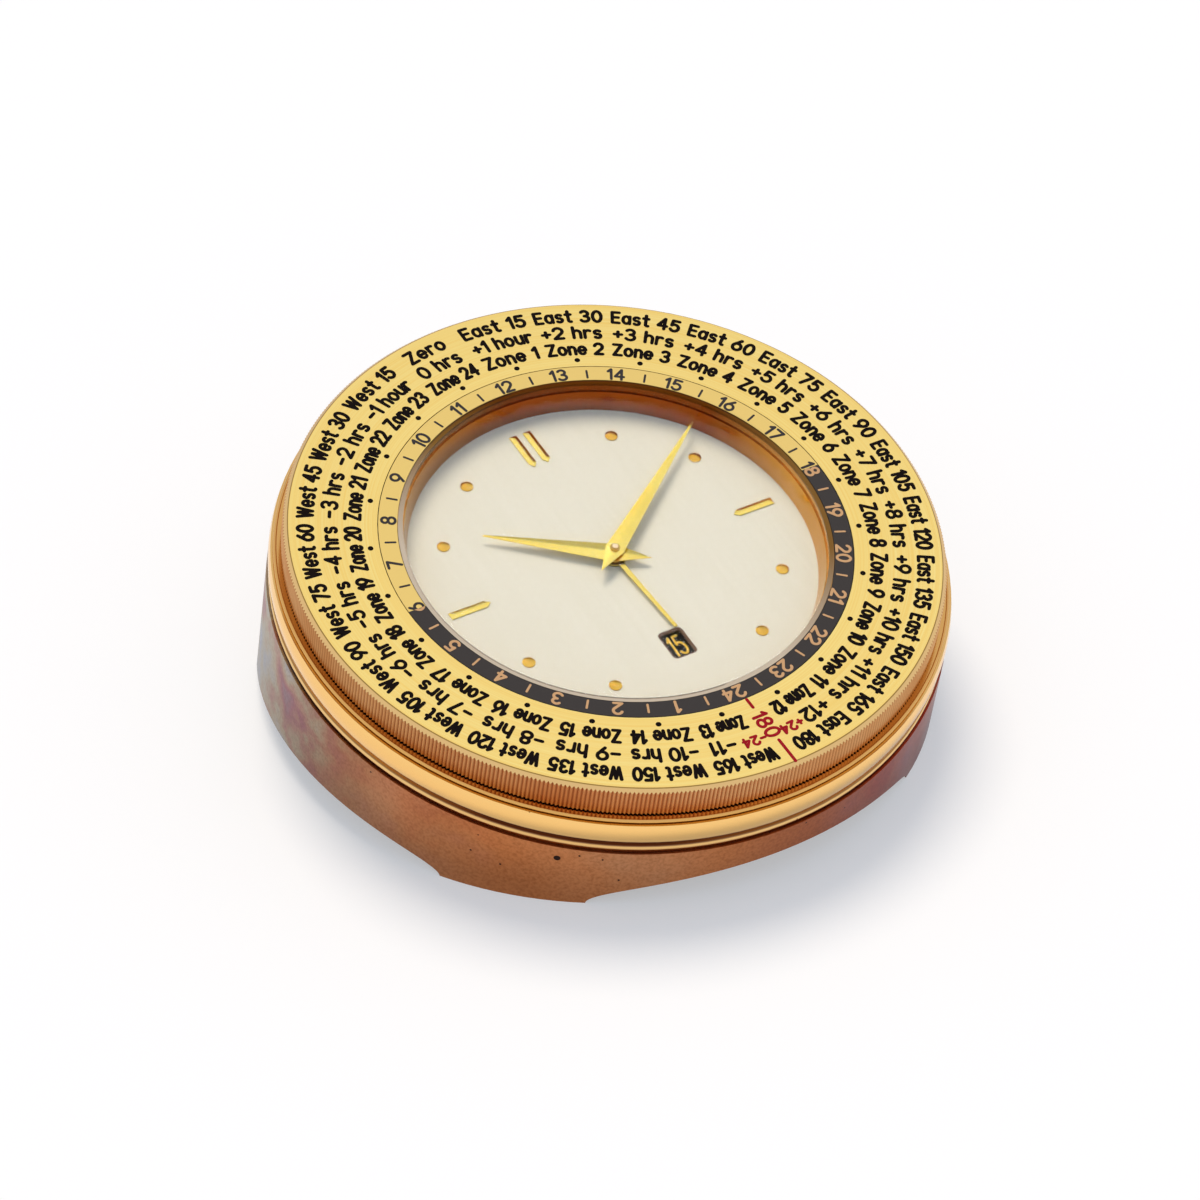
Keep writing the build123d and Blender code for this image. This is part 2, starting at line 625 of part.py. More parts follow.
def rehaut_ring():
    """The lip, the seat of the crystal, the sloping wall and the tube that stands on the mounting plate."""
    crystal_bottom = CRYSTAL_DEPTH + CRYSTAL_THICKNESS
    seat_bottom = DAY_RING_THICKNESS + SEAT_THICKNESS
    lip_middle = (CRYSTAL_RADIUS + LIP_RADIUS) / 2
    body = turned(
        (CRYSTAL_RADIUS, 0),
        ((lip_middle, -LIP_RISE), (LIP_RADIUS, 0)),
        (LIP_RADIUS, DAY_RING_THICKNESS),
        (DAY_RING_OUTER - RING_GAP, DAY_RING_THICKNESS),
        (DAY_RING_OUTER - RING_GAP, seat_bottom),
        (BEZEL_RADIUS, seat_bottom),
        (BEZEL_RADIUS, MOUNT_TOP),
        (BEZEL_BORE, MOUNT_TOP),
        (BEZEL_BORE, DIAL_DEPTH),
        (DIAL_RADIUS, DIAL_DEPTH),
        (DIAL_RADIUS + REHAUT_FLARE, crystal_bottom),
        (CRYSTAL_RADIUS, crystal_bottom),
    )
    return drilled(body, SCREW_HOLE, MOUNT_TOP - SCREW_GRIP, MOUNT_TOP, BEZEL_SCREWS_AT)


def crystal():
    return cylinder(CRYSTAL_RADIUS - CRYSTAL_GAP, CRYSTAL_DEPTH, CRYSTAL_DEPTH + CRYSTAL_THICKNESS)


def dial_plate():
    """The dial with its hole for the hands and its bevelled date window."""
    body = ring(CALENDAR_RADIUS, DIAL_HOLE, DIAL_DEPTH, DIAL_BOTTOM)
    window = RectangleRounded(WINDOW_WIDTH, WINDOW_HEIGHT, WINDOW_CORNER)
    bevel = RectangleRounded(
        WINDOW_WIDTH + 2 * WINDOW_BEVEL, WINDOW_HEIGHT + 2 * WINDOW_BEVEL, WINDOW_CORNER + WINDOW_BEVEL
    )
    at = Pos(0, -WINDOW_RADIUS, -DIAL_DEPTH)
    body -= at * extrude(window, amount=-DIAL_THICKNESS)
    return body - at * loft([bevel.face(), (Pos(0, 0, -WINDOW_BEVEL_DEPTH) * window).face()])


def dial_feet():
    return [cylinder(FOOT_RADIUS, DIAL_BOTTOM, MOUNT_TOP, at) for at in DIAL_FEET_AT]


def dot_markers():
    """Domed dots at the hours that have no baton and no window."""
    dome_height = DOT_RISE - DOT_RIM
    dome_radius = (DOT_RADIUS**2 + dome_height**2) / (2 * dome_height)
    half = DOT_RADIUS / 2
    middle = DOT_RIM + dome_height - dome_radius + (dome_radius**2 - half**2) ** 0.5
    dot = turned((0, 0), (DOT_RADIUS, 0), (DOT_RADIUS, -DOT_RIM), ((half, -middle), (0, -DOT_RISE)))
    bare_hours = [k for k in range(HOURS) if k % 3]
    return [Pos(*polar(DOT_CIRCLE, 360 * k / HOURS), -DIAL_DEPTH) * dot for k in bare_hours]


def baton(offset):
    """A roofed bar with a pointed inner end, drawn at 12 o'clock."""
    half = BATON_WIDTH / 2
    shoulder = BATON_INNER + BATON_POINT
    plan = [(-half, BATON_OUTER), (half, BATON_OUTER), (half, shoulder), (0, BATON_INNER), (-half, shoulder)]
    floor = [(x + offset, y, 0) for x, y in plan]
    eave = [(x + offset, y, BATON_RIM) for x, y in plan]
    outer, inner = (offset, BATON_OUTER - half, BATON_RISE), (offset, shoulder, BATON_RISE)
    roof = [
        [eave[0], eave[1], outer],
        [eave[1], eave[2], inner, outer],
        [eave[2], eave[3], inner],
        [eave[3], eave[4], inner],
        [eave[4], eave[0], outer, inner],
    ]
    return faceted([floor, *walls(floor, eave), *roof])


def walls(floor, eave):
    """The upright faces between two outlines, one above the other."""
    count = len(floor)
    return [[floor[k], floor[(k + 1) % count], eave[(k + 1) % count], eave[k]] for k in range(count)]


def baton_markers():
    """Two batons at 12 o'clock and one each at 3 and 9."""
    half = BATON_PAIR_SPACING / 2
    pieces = [(0, -half), (0, half), (90, 0), (270, 0)]
    return [pointed(angle, baton(offset), DIAL_DEPTH) for angle, offset in pieces]


def dauphine_hand(length, tail, width, bore):
    """A hand with a narrow end and a ridge from tip to tail, drawn at 12 o'clock with its foot at zero."""
    half, tip = width / 2, HAND_TIP / 2
    plan = [(-tip, length), (tip, length), (half, 0), (0, -tail), (-half, 0)]
    floor = [(x, y, 0) for x, y in plan]
    eave = [(x, y, HAND_EDGE) for x, y in plan]
    roof = [[eave[k], eave[(k + 1) % len(plan)], (0, 0, HAND_RIDGE)] for k in range(len(plan))]
    return faceted([floor, *walls(floor, eave), *roof]) - cylinder(bore, -HAND_RIDGE, 0)


def minute_hand():
    body = dauphine_hand(MINUTE_LENGTH, MINUTE_TAIL, MINUTE_WIDTH, CANNON_RADIUS + FIT_CLEARANCE)
    return pointed(MINUTE_ANGLE, body, DIAL_DEPTH - MINUTE_HEIGHT)


def hour_hand():
    body = dauphine_hand(HOUR_LENGTH, HOUR_TAIL, HOUR_WIDTH, HOUR_PIPE + FIT_CLEARANCE)
    return pointed(HOUR_ANGLE, body, DIAL_DEPTH - HOUR_HEIGHT)


def alarm_hand():
    """A thin tapered needle on a round boss."""
    tip, root = ALARM_TIP_WIDTH / 2, ALARM_WIDTH / 2
    needle = prism([(-root, 0), (root, 0), (tip, ALARM_LENGTH), (-tip, ALARM_LENGTH)], -ALARM_THICKNESS, 0)
    body = needle + cylinder(ALARM_BOSS_RADIUS, -ALARM_THICKNESS, 0)
    body -= cylinder(ALARM_PIPE + FIT_CLEARANCE, -ALARM_THICKNESS, 0)
    return pointed(ALARM_ANGLE, body, DIAL_DEPTH - ALARM_HEIGHT)


def date_ring():
    """The ring of dates, with one tooth a day round its bore."""
    root = DATE_TOOTH_CIRCLE + DATE_TOOTH_HEIGHT
    bore = tooth_outline(DATE_COUNT, root, DATE_TOOTH_CIRCLE, *DATE_TOOTH_SHARES, 0)
    return cylinder(DATE_RING_OUTER, DATE_TOP, DATE_BOTTOM) - prism(bore, DATE_TOP, DATE_BOTTOM)


def date_jumper():
    """The flat spring whose nose holds the date ring between two teeth."""
    reach = DATE_TOOTH_CIRCLE - JUMPER_GAP
    return bar(polar(reach, JUMPER_ANGLE), polar(reach, JUMPER_ANGLE + JUMPER_SWEEP), JUMPER_WIDTH,
               (DATE_TOP, CALENDAR_TOP))


def calendar_plate():
    """The plate that carries the date ring inside a raised rim."""
    rim = DATE_RING_OUTER + RUNNING_CLEARANCE
    body = cylinder(CALENDAR_RADIUS, CALENDAR_TOP, CALENDAR_BOTTOM)
    body += ring(rim + CALENDAR_RIM_WIDTH, rim, DATE_TOP, CALENDAR_TOP)
    depths = (CALENDAR_TOP, CALENDAR_BOTTOM)
    body = drilled(body, DIAL_HOLE, *depths, [CENTER_AT])
    body = drilled(body, STUD_RADIUS + STUD_WALL + PASSING_CLEARANCE, *depths, [DATE_AT])
    return drilled(body, FOOT_RADIUS + FIT_CLEARANCE, *depths, DIAL_FEET_AT)


def calendar_posts():
    return [cylinder(POST_RADIUS, CALENDAR_BOTTOM, MOUNT_TOP, at) for at in CALENDAR_POSTS_AT]


def mounting_plate():
    """The flat ring that hangs the movement in the case."""
    body = ring(RING_BORE - FIT_CLEARANCE, MOUNT_BORE, MOUNT_TOP, FRONT_TOP)
    places = CARRIER_SCREWS_AT + BEZEL_SCREWS_AT + MOVEMENT_SCREWS_AT
    body = drilled(body, SCREW_HOLE, MOUNT_TOP, FRONT_TOP, places)
    return drilled(body, SCREW_HEAD_RADIUS + FIT_CLEARANCE, SUNK_SEAT, FRONT_TOP, BEZEL_SCREWS_AT)


def carrier_screws():
    """The screws that hold the mounting plate to the case ring and, with sunk heads, to the lip."""
    tip = MOUNT_TOP - SCREW_GRIP
    screws = [screw(at, FRONT_TOP, tip) for at in CARRIER_SCREWS_AT]
    return screws + [screw(at, SUNK_SEAT, tip) for at in BEZEL_SCREWS_AT]


def plate_screws():
    """The screws of the movement: into the mounting plate, the pillars and the cover's flange."""
    screws = [screw(at, FRONT_BOTTOM, MOUNT_TOP + END_SHAKE) for at in MOVEMENT_SCREWS_AT]
    screws += [screw(at, BACK_BOTTOM, BACK_TOP - SCREW_GRIP) for at in PILLARS_AT]
    return screws + [screw(at, FRONT_BOTTOM + COVER_WALL, FRONT_TOP + END_SHAKE) for at in COVER_SCREWS_AT]


def front_plate():
    """The movement's front plate, with a hole for each arbor."""
    depths = (FRONT_TOP, FRONT_BOTTOM)
    body = cylinder(FRONT_RADIUS, *depths)
    body = drilled(body, CENTER_ARBOR_RADIUS + RUNNING_CLEARANCE, *depths, [CENTER_AT])
    body = drilled(body, SCREW_HOLE, *depths, MOVEMENT_SCREWS_AT + COVER_SCREWS_AT)
    return arbor_holes(body, depths)


def back_plate():
    """The movement's back plate, held off the front plate by the pillars."""
    depths = (BACK_TOP, BACK_BOTTOM)
    body = cylinder(BACK_RADIUS, *depths)
    body = drilled(body, CENTER_ARBOR_RADIUS + RUNNING_CLEARANCE, *depths, [CENTER_AT])
    body = drilled(body, SCREW_HOLE, *depths, PILLARS_AT)
    body = drilled(body, STOP_RADIUS + RUNNING_CLEARANCE, *depths, [STOP_AT])
    return arbor_holes(body, depths)


def arbor_holes(plate, depths):
    """The holes that both plates share."""
    plate = drilled(plate, PIVOT_RADIUS + RUNNING_CLEARANCE, *depths, PIVOTS_AT)
    plate = drilled(plate, WIND_ARBOR_RADIUS + RUNNING_CLEARANCE, *depths, WINDERS_AT)
    plate = drilled(plate, SET_ARBOR_RADIUS + RUNNING_CLEARANCE, *depths, [ALARM_SET_AT])
    return drilled(plate, CUP_RADIUS + FIT_CLEARANCE, *depths, [BALANCE_AT])


def pillar(at):
    """A post between the plates, tapped for its screw."""
    post = cylinder(PILLAR_RADIUS, FRONT_BOTTOM, BACK_TOP, at)
    return post - cylinder(SCREW_HOLE, BACK_TOP - SCREW_GRIP, BACK_TOP, at)


def pillars():
    return [pillar(at) for at in PILLARS_AT]


def motion_studs():
    """The fixed studs that the minute wheel and the date wheel turn on."""
    minute = cylinder(STUD_RADIUS, HOUR_LAYER[0], FRONT_TOP, MINUTE_AT)
    return [minute, cylinder(STUD_RADIUS, DATE_TOP + END_SHAKE, FRONT_TOP, DATE_AT)]


def dust_cover():
    """The cup over the movement, with a hole for each key, knob and button."""
    flange_bottom = FRONT_BOTTOM + COVER_WALL
    body = cylinder(COVER_RADIUS, FRONT_BOTTOM, COVER_BOTTOM)
    body += cylinder(FRONT_RADIUS, FRONT_BOTTOM, flange_bottom)
    body -= cylinder(COVER_INNER, FRONT_BOTTOM, COVER_INSIDE)
    depths = (COVER_INSIDE, COVER_BOTTOM)
    body = drilled(body, WIND_ARBOR_RADIUS + COVER_HOLE_GAP, *depths, WINDERS_AT)
    body = drilled(body, CENTER_ARBOR_RADIUS + COVER_HOLE_GAP, *depths, [CENTER_AT])
    body = drilled(body, SET_ARBOR_RADIUS + COVER_HOLE_GAP, *depths, [ALARM_SET_AT])
    body = drilled(body, STOP_RADIUS + RUNNING_CLEARANCE, *depths, [STOP_AT])
    return drilled(body, SCREW_HOLE, FRONT_BOTTOM, flange_bottom, COVER_SCREWS_AT)


def center_arbor():
    bottom = CONTROL_TOP + SOCKET_SHARE * HAND_KNOB_HEIGHT
    return cylinder(CENTER_ARBOR_RADIUS, DIAL_DEPTH - CENTER_ARBOR_HEIGHT, bottom)


def center_wheel():
    """The wheel that turns once an hour, with the pinion that drives it."""
    body = gear(CENTER_TEETH, CENTER_MODULE, WHEEL_TOOTH, 0, CENTER_LAYER)
    depths = (CENTER_LAYER[1], INTERMEDIATE_LAYER[1])
    body += gear(CENTER_PINION, INTERMEDIATE_MODULE, PINION_TOOTH, 0, depths)
    return body - cylinder(CANNON_BORE, CENTER_LAYER[0], INTERMEDIATE_LAYER[1])


def cannon_pinion():
    top = DIAL_DEPTH - MINUTE_HEIGHT - HAND_RIDGE - PIPE_STEP
    body = cylinder(CANNON_RADIUS, top, MINUTE_LAYER[1])
    body += gear(CANNON_TEETH, CANNON_MODULE, PINION_TOOTH, 0, MINUTE_LAYER)
    return body - cylinder(CANNON_BORE, top, MINUTE_LAYER[1])


def minute_wheel():
    """The wheel and pinion between the cannon pinion and the hour wheel."""
    phase = mesh_phase(0, CANNON_TEETH, MINUTE_TEETH, MINUTE_WHEEL_DIRECTION)
    body = gear(MINUTE_TEETH, CANNON_MODULE, WHEEL_TOOTH, phase, MINUTE_LAYER, MINUTE_AT)
    depths = (HOUR_LAYER[0], MINUTE_LAYER[0])
    body += gear(MINUTE_PINION, HOUR_MODULE, PINION_TOOTH, 0, depths, MINUTE_AT)
    return body - cylinder(STUD_RADIUS + RUNNING_CLEARANCE, HOUR_LAYER[0], MINUTE_LAYER[1], MINUTE_AT)


def hour_wheel():
    """The hour wheel with its pipe and the small gear that drives the date wheel."""
    top = DIAL_DEPTH - HOUR_HEIGHT - HAND_RIDGE - PIPE_STEP
    phase = mesh_phase(0, MINUTE_PINION, HOUR_TEETH, MINUTE_WHEEL_DIRECTION + 180)
    body = gear(HOUR_TEETH, HOUR_MODULE, WHEEL_TOOTH, phase, HOUR_LAYER)
    body += gear(DATE_PINION, DATE_MODULE, PINION_TOOTH, 0, (DATE_LAYER[0], HOUR_LAYER[0]))
    body += cylinder(HOUR_PIPE, top, DATE_LAYER[0])
    return body - cylinder(HOUR_BORE, top, HOUR_LAYER[1])


def alarm_wheel():
    top = DIAL_DEPTH - ALARM_HEIGHT - ALARM_THICKNESS - PIPE_STEP
    body = gear(ALARM_TEETH, ALARM_MODULE, WHEEL_TOOTH, 0, ALARM_LAYER)
    body += cylinder(ALARM_PIPE, top, ALARM_LAYER[0])
    return body - cylinder(ALARM_BORE, top, ALARM_LAYER[1])


def date_wheel():
    """The wheel that turns once a day, and its finger beside the teeth of the date ring."""
    phase = mesh_phase(0, DATE_PINION, DATE_WHEEL_TEETH, DATE_WHEEL_DIRECTION)
    body = gear(DATE_WHEEL_TEETH, DATE_MODULE, WHEEL_TOOTH, phase, DATE_LAYER, DATE_AT)
    body += cylinder(STUD_RADIUS + STUD_WALL, DATE_TOP, DATE_LAYER[0], DATE_AT)
    body += bar(DATE_AT, polar(FINGER_LENGTH, 0, DATE_AT), FINGER_WIDTH, (DATE_TOP, DATE_BOTTOM))
    return body - cylinder(STUD_RADIUS + RUNNING_CLEARANCE, DATE_TOP, DATE_LAYER[1], DATE_AT)


def alarm_set_arbor():
    """The long arbor whose pinion turns the alarm hand."""
    phase = mesh_phase(0, ALARM_TEETH, ALARM_PINION, ALARM_SET_DIRECTION)
    bottom = CONTROL_TOP + SOCKET_SHARE * ALARM_KNOB_HEIGHT
    body = gear(ALARM_PINION, ALARM_MODULE, PINION_TOOTH, phase, ALARM_LAYER, ALARM_SET_AT)
    return body + cylinder(SET_ARBOR_RADIUS, ALARM_LAYER[1], bottom, ALARM_SET_AT)


def train_arbor(at):
    """An arbor between the plates, with a thin pivot in each."""
    body = cylinder(TRAIN_ARBOR_RADIUS, FRONT_BOTTOM + END_SHAKE, BACK_TOP - END_SHAKE, at)
    return body + cylinder(PIVOT_RADIUS, FRONT_TOP + END_SHAKE, BACK_BOTTOM - END_SHAKE, at)


def intermediate_wheel():
    phase = mesh_phase(0, CENTER_PINION, INTERMEDIATE_TEETH, INTERMEDIATE_DIRECTION)
    at, depths = INTERMEDIATE_AT, INTERMEDIATE_LAYER
    body = train_arbor(at) + gear(INTERMEDIATE_TEETH, INTERMEDIATE_MODULE, WHEEL_TOOTH, phase, depths, at)
    return body + gear(INTERMEDIATE_PINION, BARREL_MODULE, PINION_TOOTH, 0, BARREL_LAYER, at)


def third_wheel():
    phase = mesh_phase(0, CENTER_TEETH, THIRD_PINION, THIRD_DIRECTION)
    body = train_arbor(THIRD_AT) + gear(THIRD_TEETH, THIRD_MODULE, WHEEL_TOOTH, 0, THIRD_LAYER, THIRD_AT)
    return body + gear(THIRD_PINION, CENTER_MODULE, PINION_TOOTH, phase, CENTER_LAYER, THIRD_AT)


def fourth_wheel():
    phase = mesh_phase(0, THIRD_TEETH, FOURTH_PINION, FOURTH_DIRECTION)
    body = train_arbor(FOURTH_AT) + gear(FOURTH_TEETH, FOURTH_MODULE, WHEEL_TOOTH, 0, FOURTH_LAYER, FOURTH_AT)
    return body + gear(FOURTH_PINION, THIRD_MODULE, PINION_TOOTH, phase, THIRD_LAYER, FOURTH_AT)


def escape_wheel():
    phase = mesh_phase(0, FOURTH_TEETH, ESCAPE_PINION, ESCAPE_DIRECTION)
    teeth = tooth_outline(ESCAPE_TEETH, ESCAPE_RADIUS - CLUB_TOOTH, ESCAPE_RADIUS, *CLUB_SHARES, 0)
    body = train_arbor(ESCAPE_AT) + prism(teeth, *ESCAPE_LAYER, ESCAPE_AT)
    return body + gear(ESCAPE_PINION, FOURTH_MODULE, PINION_TOOTH, phase, FOURTH_LAYER, ESCAPE_AT)


def pallet_fork():
    """The anchor with its two stones, and the fork that reaches for the balance."""
    across = PALLET_DIRECTION + 90
    ends = [polar(side * PALLET_SPAN / 2, across, PALLET_AT) for side in (-1, 1)]
    body = train_arbor(PALLET_AT) + bar(*ends, PALLET_WIDTH, ESCAPE_LAYER)
    for end in ends:
        body += bar(end, polar(STONE_LENGTH, PALLET_DIRECTION + 180, end), STONE_WIDTH, ESCAPE_LAYER)
    reach = FORK_SPACING - ROLLER_RADIUS - FORK_GAP
    return body + bar(PALLET_AT, polar(reach, BALANCE_DIRECTION, PALLET_AT), PALLET_WIDTH, ESCAPE_LAYER)


def balance_wheel():
    """The rim on one spoke, with its staff and the roller that faces the fork."""
    at = BALANCE_AT
    inner = BALANCE_RADIUS - BALANCE_RIM
    body = ring(BALANCE_RADIUS, inner, *BALANCE_LAYER, at)
    rim_middle = BALANCE_RADIUS - BALANCE_RIM / 2
    body += bar(polar(-rim_middle, 0, at), polar(rim_middle, 0, at), BALANCE_SPOKE, BALANCE_LAYER)
    cup_space = CUP_DEPTH + END_SHAKE
    body += cylinder(STAFF_RADIUS, FRONT_BOTTOM + cup_space, BACK_TOP - cup_space, at)
    body += cylinder(PIVOT_RADIUS, FRONT_TOP + END_SHAKE, BACK_BOTTOM - END_SHAKE, at)
    return body + cylinder(ROLLER_RADIUS, *ESCAPE_LAYER, at)


def balance_cups():
    """The two screwed bushes that the balance staff runs in."""
    bore = PIVOT_RADIUS + RUNNING_CLEARANCE
    front = ring(CUP_RADIUS, bore, FRONT_TOP, FRONT_BOTTOM + CUP_DEPTH, BALANCE_AT)
    return [front, ring(CUP_RADIUS, bore, BACK_TOP - CUP_DEPTH, BACK_BOTTOM, BALANCE_AT)]


def spiral(inner, pitch, turns, strip, depths, at):
    """A flat strip wound into a spiral."""
    steps = range(turns * SPIRAL_STEPS + 1)
    line = [(inner + pitch * k / SPIRAL_STEPS, 360 * k / SPIRAL_STEPS) for k in steps]
    outside = [polar(r + strip / 2, angle) for r, angle in line]
    inside = [polar(r - strip / 2, angle) for r, angle in line]
    return prism(outside + inside[::-1], *depths, at)


def hairspring():
    """The balance spring with its collet on the staff."""
    sizes = (HAIRSPRING_INNER, HAIRSPRING_PITCH, HAIRSPRING_TURNS, HAIRSPRING_WIDTH)
    body = spiral(*sizes, SPRING_LAYER, BALANCE_AT)
    return body + ring(HAIRSPRING_INNER, STAFF_RADIUS + FIT_CLEARANCE, *SPRING_LAYER, BALANCE_AT)


def drum_radius(teeth, module):
    """The drum lies inside the roots of the barrel's teeth."""
    return teeth * module / 2 - WHEEL_TOOTH[1] * module - DRUM_INSET


def barrel(at, teeth, module, phase, depths):
    """A toothed drum, open towards the front plate, that turns on the winding arbor."""
    drum, top = drum_radius(teeth, module), THIRD_LAYER[0]
    body = gear(teeth, module, WHEEL_TOOTH, phase, depths, at) + cylinder(drum, top, depths[0], at)
    body -= cylinder(drum - DRUM_WALL, top, depths[0], at)
    return body - cylinder(WIND_ARBOR_RADIUS + RUNNING_CLEARANCE, *depths, at)


def mainspring(at, teeth, module, depths, turns):
    """The wound strip inside a drum."""
    inner = WIND_ARBOR_RADIUS + MAINSPRING_GAP + MAINSPRING_STRIP / 2
    outer = drum_radius(teeth, module) - DRUM_WALL - MAINSPRING_STRIP / 2
    return spiral(inner, (outer - inner) / turns, turns, MAINSPRING_STRIP, (THIRD_LAYER[1], depths[0]), at)


def winder(at, height):
    """A winding arbor with its ratchet wheel under the back plate."""
    bottom = CONTROL_TOP + SOCKET_SHARE * height
    teeth = tooth_outline(RATCHET_TEETH, RATCHET_RADIUS - RATCHET_TOOTH, RATCHET_RADIUS, *RATCHET_SHARES, 0)
    return cylinder(WIND_ARBOR_RADIUS, FRONT_TOP + END_SHAKE, bottom, at) + prism(teeth, *RATCHET_LAYER, at)


def winding_key(at, span, height):
    """A flat-winged key on a round hub, with a socket for its arbor."""
    bottom = CONTROL_TOP + height
    wing = Box(span, KEY_THICKNESS, height - KEY_FOOT, align=(Align.CENTER, Align.CENTER, Align.MIN))
    wing = fillet(wing.edges().filter_by(Axis.Y), KEY_CORNER)
    body = cylinder(KEY_HUB_RADIUS, CONTROL_TOP, bottom, at) + Pos(at[0], at[1], -bottom) * wing
    return body - socket(at, WIND_ARBOR_RADIUS, height)


def socket(at, radius, height):
    """The hole in a key or knob for the end of its arbor."""
    return cylinder(radius + FIT_CLEARANCE, CONTROL_TOP, CONTROL_TOP + SOCKET_SHARE * height, at)


def knob(at, radius, height, arbor_radius):
    """A fluted setting knob."""
    body = fluted(radius, KNOB_FLUTE_DEPTH, KNOB_FLUTES, CONTROL_TOP, CONTROL_TOP + height, at)
    return body - socket(at, arbor_radius, height)


def time_barrel():
    phase = mesh_phase(0, INTERMEDIATE_PINION, BARREL_TEETH, BARREL_DIRECTION)
    return barrel(BARREL_AT, BARREL_TEETH, BARREL_MODULE, phase, BARREL_LAYER)


def time_mainspring():
    return mainspring(BARREL_AT, BARREL_TEETH, BARREL_MODULE, BARREL_LAYER, MAINSPRING_TURNS)


def time_winder():
    return winder(BARREL_AT, KEY_HEIGHT)


def time_key():
    return winding_key(BARREL_AT, KEY_SPAN, KEY_HEIGHT)


def alarm_barrel():
    return barrel(ALARM_BARREL_AT, ALARM_BARREL_TEETH, ALARM_BARREL_MODULE, 0, ESCAPE_LAYER)


def alarm_mainspring():
    sizes = (ALARM_BARREL_TEETH, ALARM_BARREL_MODULE, ESCAPE_LAYER, ALARM_SPRING_TURNS)
    return mainspring(ALARM_BARREL_AT, *sizes)


def alarm_winder():
    return winder(ALARM_BARREL_AT, ALARM_KEY_HEIGHT)


def alarm_key():
    return winding_key(ALARM_BARREL_AT, ALARM_KEY_SPAN, ALARM_KEY_HEIGHT)


def hand_set_knob():
    return knob(CENTER_AT, HAND_KNOB_RADIUS, HAND_KNOB_HEIGHT, CENTER_ARBOR_RADIUS)


def alarm_set_knob():
    return knob(ALARM_SET_AT, ALARM_KNOB_RADIUS, ALARM_KNOB_HEIGHT, SET_ARBOR_RADIUS)


def click_springs():
    """The flat springs that stop each ratchet wheel from running back, each on a round foot."""
    springs = []
    for at in WINDERS_AT:
        nose = (at[0], at[1] + RATCHET_RADIUS + CLICK_GAP + CLICK_WIDTH / 2)
        foot = (nose[0] + CLICK_LENGTH, nose[1])
        post = cylinder(CLICK_WIDTH, BACK_BOTTOM, RATCHET_LAYER[1], foot)
        springs.append(bar(nose, foot, CLICK_WIDTH, RATCHET_LAYER) + post)
    return springs


def strike_wheel():
    """The wheel that rocks the alarm hammer."""
    phase = mesh_phase(0, ALARM_BARREL_TEETH, STRIKE_PINION, STRIKE_DIRECTION)
    teeth = tooth_outline(STRIKE_TEETH, STRIKE_RADIUS - CLUB_TOOTH, STRIKE_RADIUS, *CLUB_SHARES, 0)
    body = train_arbor(STRIKE_AT) + prism(teeth, *BARREL_LAYER, STRIKE_AT)
    return body + gear(STRIKE_PINION, ALARM_BARREL_MODULE, PINION_TOOTH, phase, ESCAPE_LAYER, STRIKE_AT)


def alarm_hammer():
    """The hammer: arbor, verge beside the strike wheel, arm and round head inside the gong."""
    turn = degrees(atan2(HAMMER_AT[1], HAMMER_AT[0])) + HAMMER_TURN
    head = polar(GONG_RADIUS - GONG_WALL - HAMMER_GAP - HAMMER_HEAD, turn)
    body = train_arbor(HAMMER_AT) + bar(HAMMER_AT, head, HAMMER_WIDTH, ESCAPE_LAYER)
    verge = polar(VERGE_LENGTH, HAMMER_DIRECTION + 180, HAMMER_AT)
    body += bar(HAMMER_AT, verge, HAMMER_WIDTH, BARREL_LAYER)
    return body + cylinder(HAMMER_HEAD, SPRING_LAYER[1], BALANCE_LAYER[0], head)


def gong():
    top = FRONT_BOTTOM + GONG_DROP
    return ring(GONG_RADIUS, GONG_RADIUS - GONG_WALL, top, top + GONG_HEIGHT)


def gong_posts():
    return [cylinder(GONG_POST_RADIUS, FRONT_BOTTOM, FRONT_BOTTOM + GONG_DROP, at) for at in GONG_POSTS_AT]


def alarm_stop():
    """The push button that silences the alarm."""
    cap = COVER_BOTTOM + STOP_TRAVEL + STOP_SPARE
    body = cylinder(STOP_RADIUS, COVER_BOTTOM - STOP_LENGTH, cap, STOP_AT)
    return body + cylinder(STOP_CAP_RADIUS, cap, cap + STOP_CAP_HEIGHT, STOP_AT)


PIECES = (
    case_skirt,
    case_ring,
    case_screws,
    zone_ring,
    bezel_spring,
    day_ring,
    rehaut_ring,
    crystal,
    dial_plate,
    dial_feet,
    dot_markers,
    baton_markers,
    minute_hand,
    hour_hand,
    alarm_hand,
    date_ring,
    date_jumper,
    calendar_plate,
    calendar_posts,
    mounting_plate,
    carrier_screws,
    plate_screws,
    front_plate,
    back_plate,
    pillars,
    motion_studs,
    dust_cover,
    center_arbor,
    center_wheel,
    cannon_pinion,
    minute_wheel,
    hour_wheel,
    alarm_wheel,
    date_wheel,
    alarm_set_arbor,
    alarm_set_knob,
    hand_set_knob,
    intermediate_wheel,
    third_wheel,
    fourth_wheel,
    escape_wheel,
    pallet_fork,
    balance_wheel,
    balance_cups,
    hairspring,
    time_barrel,
    time_mainspring,
    time_winder,
    time_key,
    alarm_barrel,
    alarm_mainspring,
    alarm_winder,
    alarm_key,
    click_springs,
    strike_wheel,
    alarm_hammer,
    gong,
    gong_posts,
    alarm_stop,
)


def stand():
    """From the dial's frame to the clock's: on the table, with its outline centred on the origin."""
    lift = TABLE.inverse()
    outline = Compound([lift * case_skirt(), lift * case_ring()]).bounding_box()
    return Pos(0, -outline.center().Y, 0) * lift


def main():
    os.makedirs("parts", exist_ok=True)
    place = stand()
    for piece in PIECES:
        made = piece()
        solids = made if isinstance(made, list) else [made]
        placed = [solid for shape in solids for solid in (place * shape).solids()]
        node = placed[0] if len(placed) == 1 else Compound(placed)
        export_step(node, f"parts/{piece.__name__}.step")


if __name__ == "__main__":
    main()
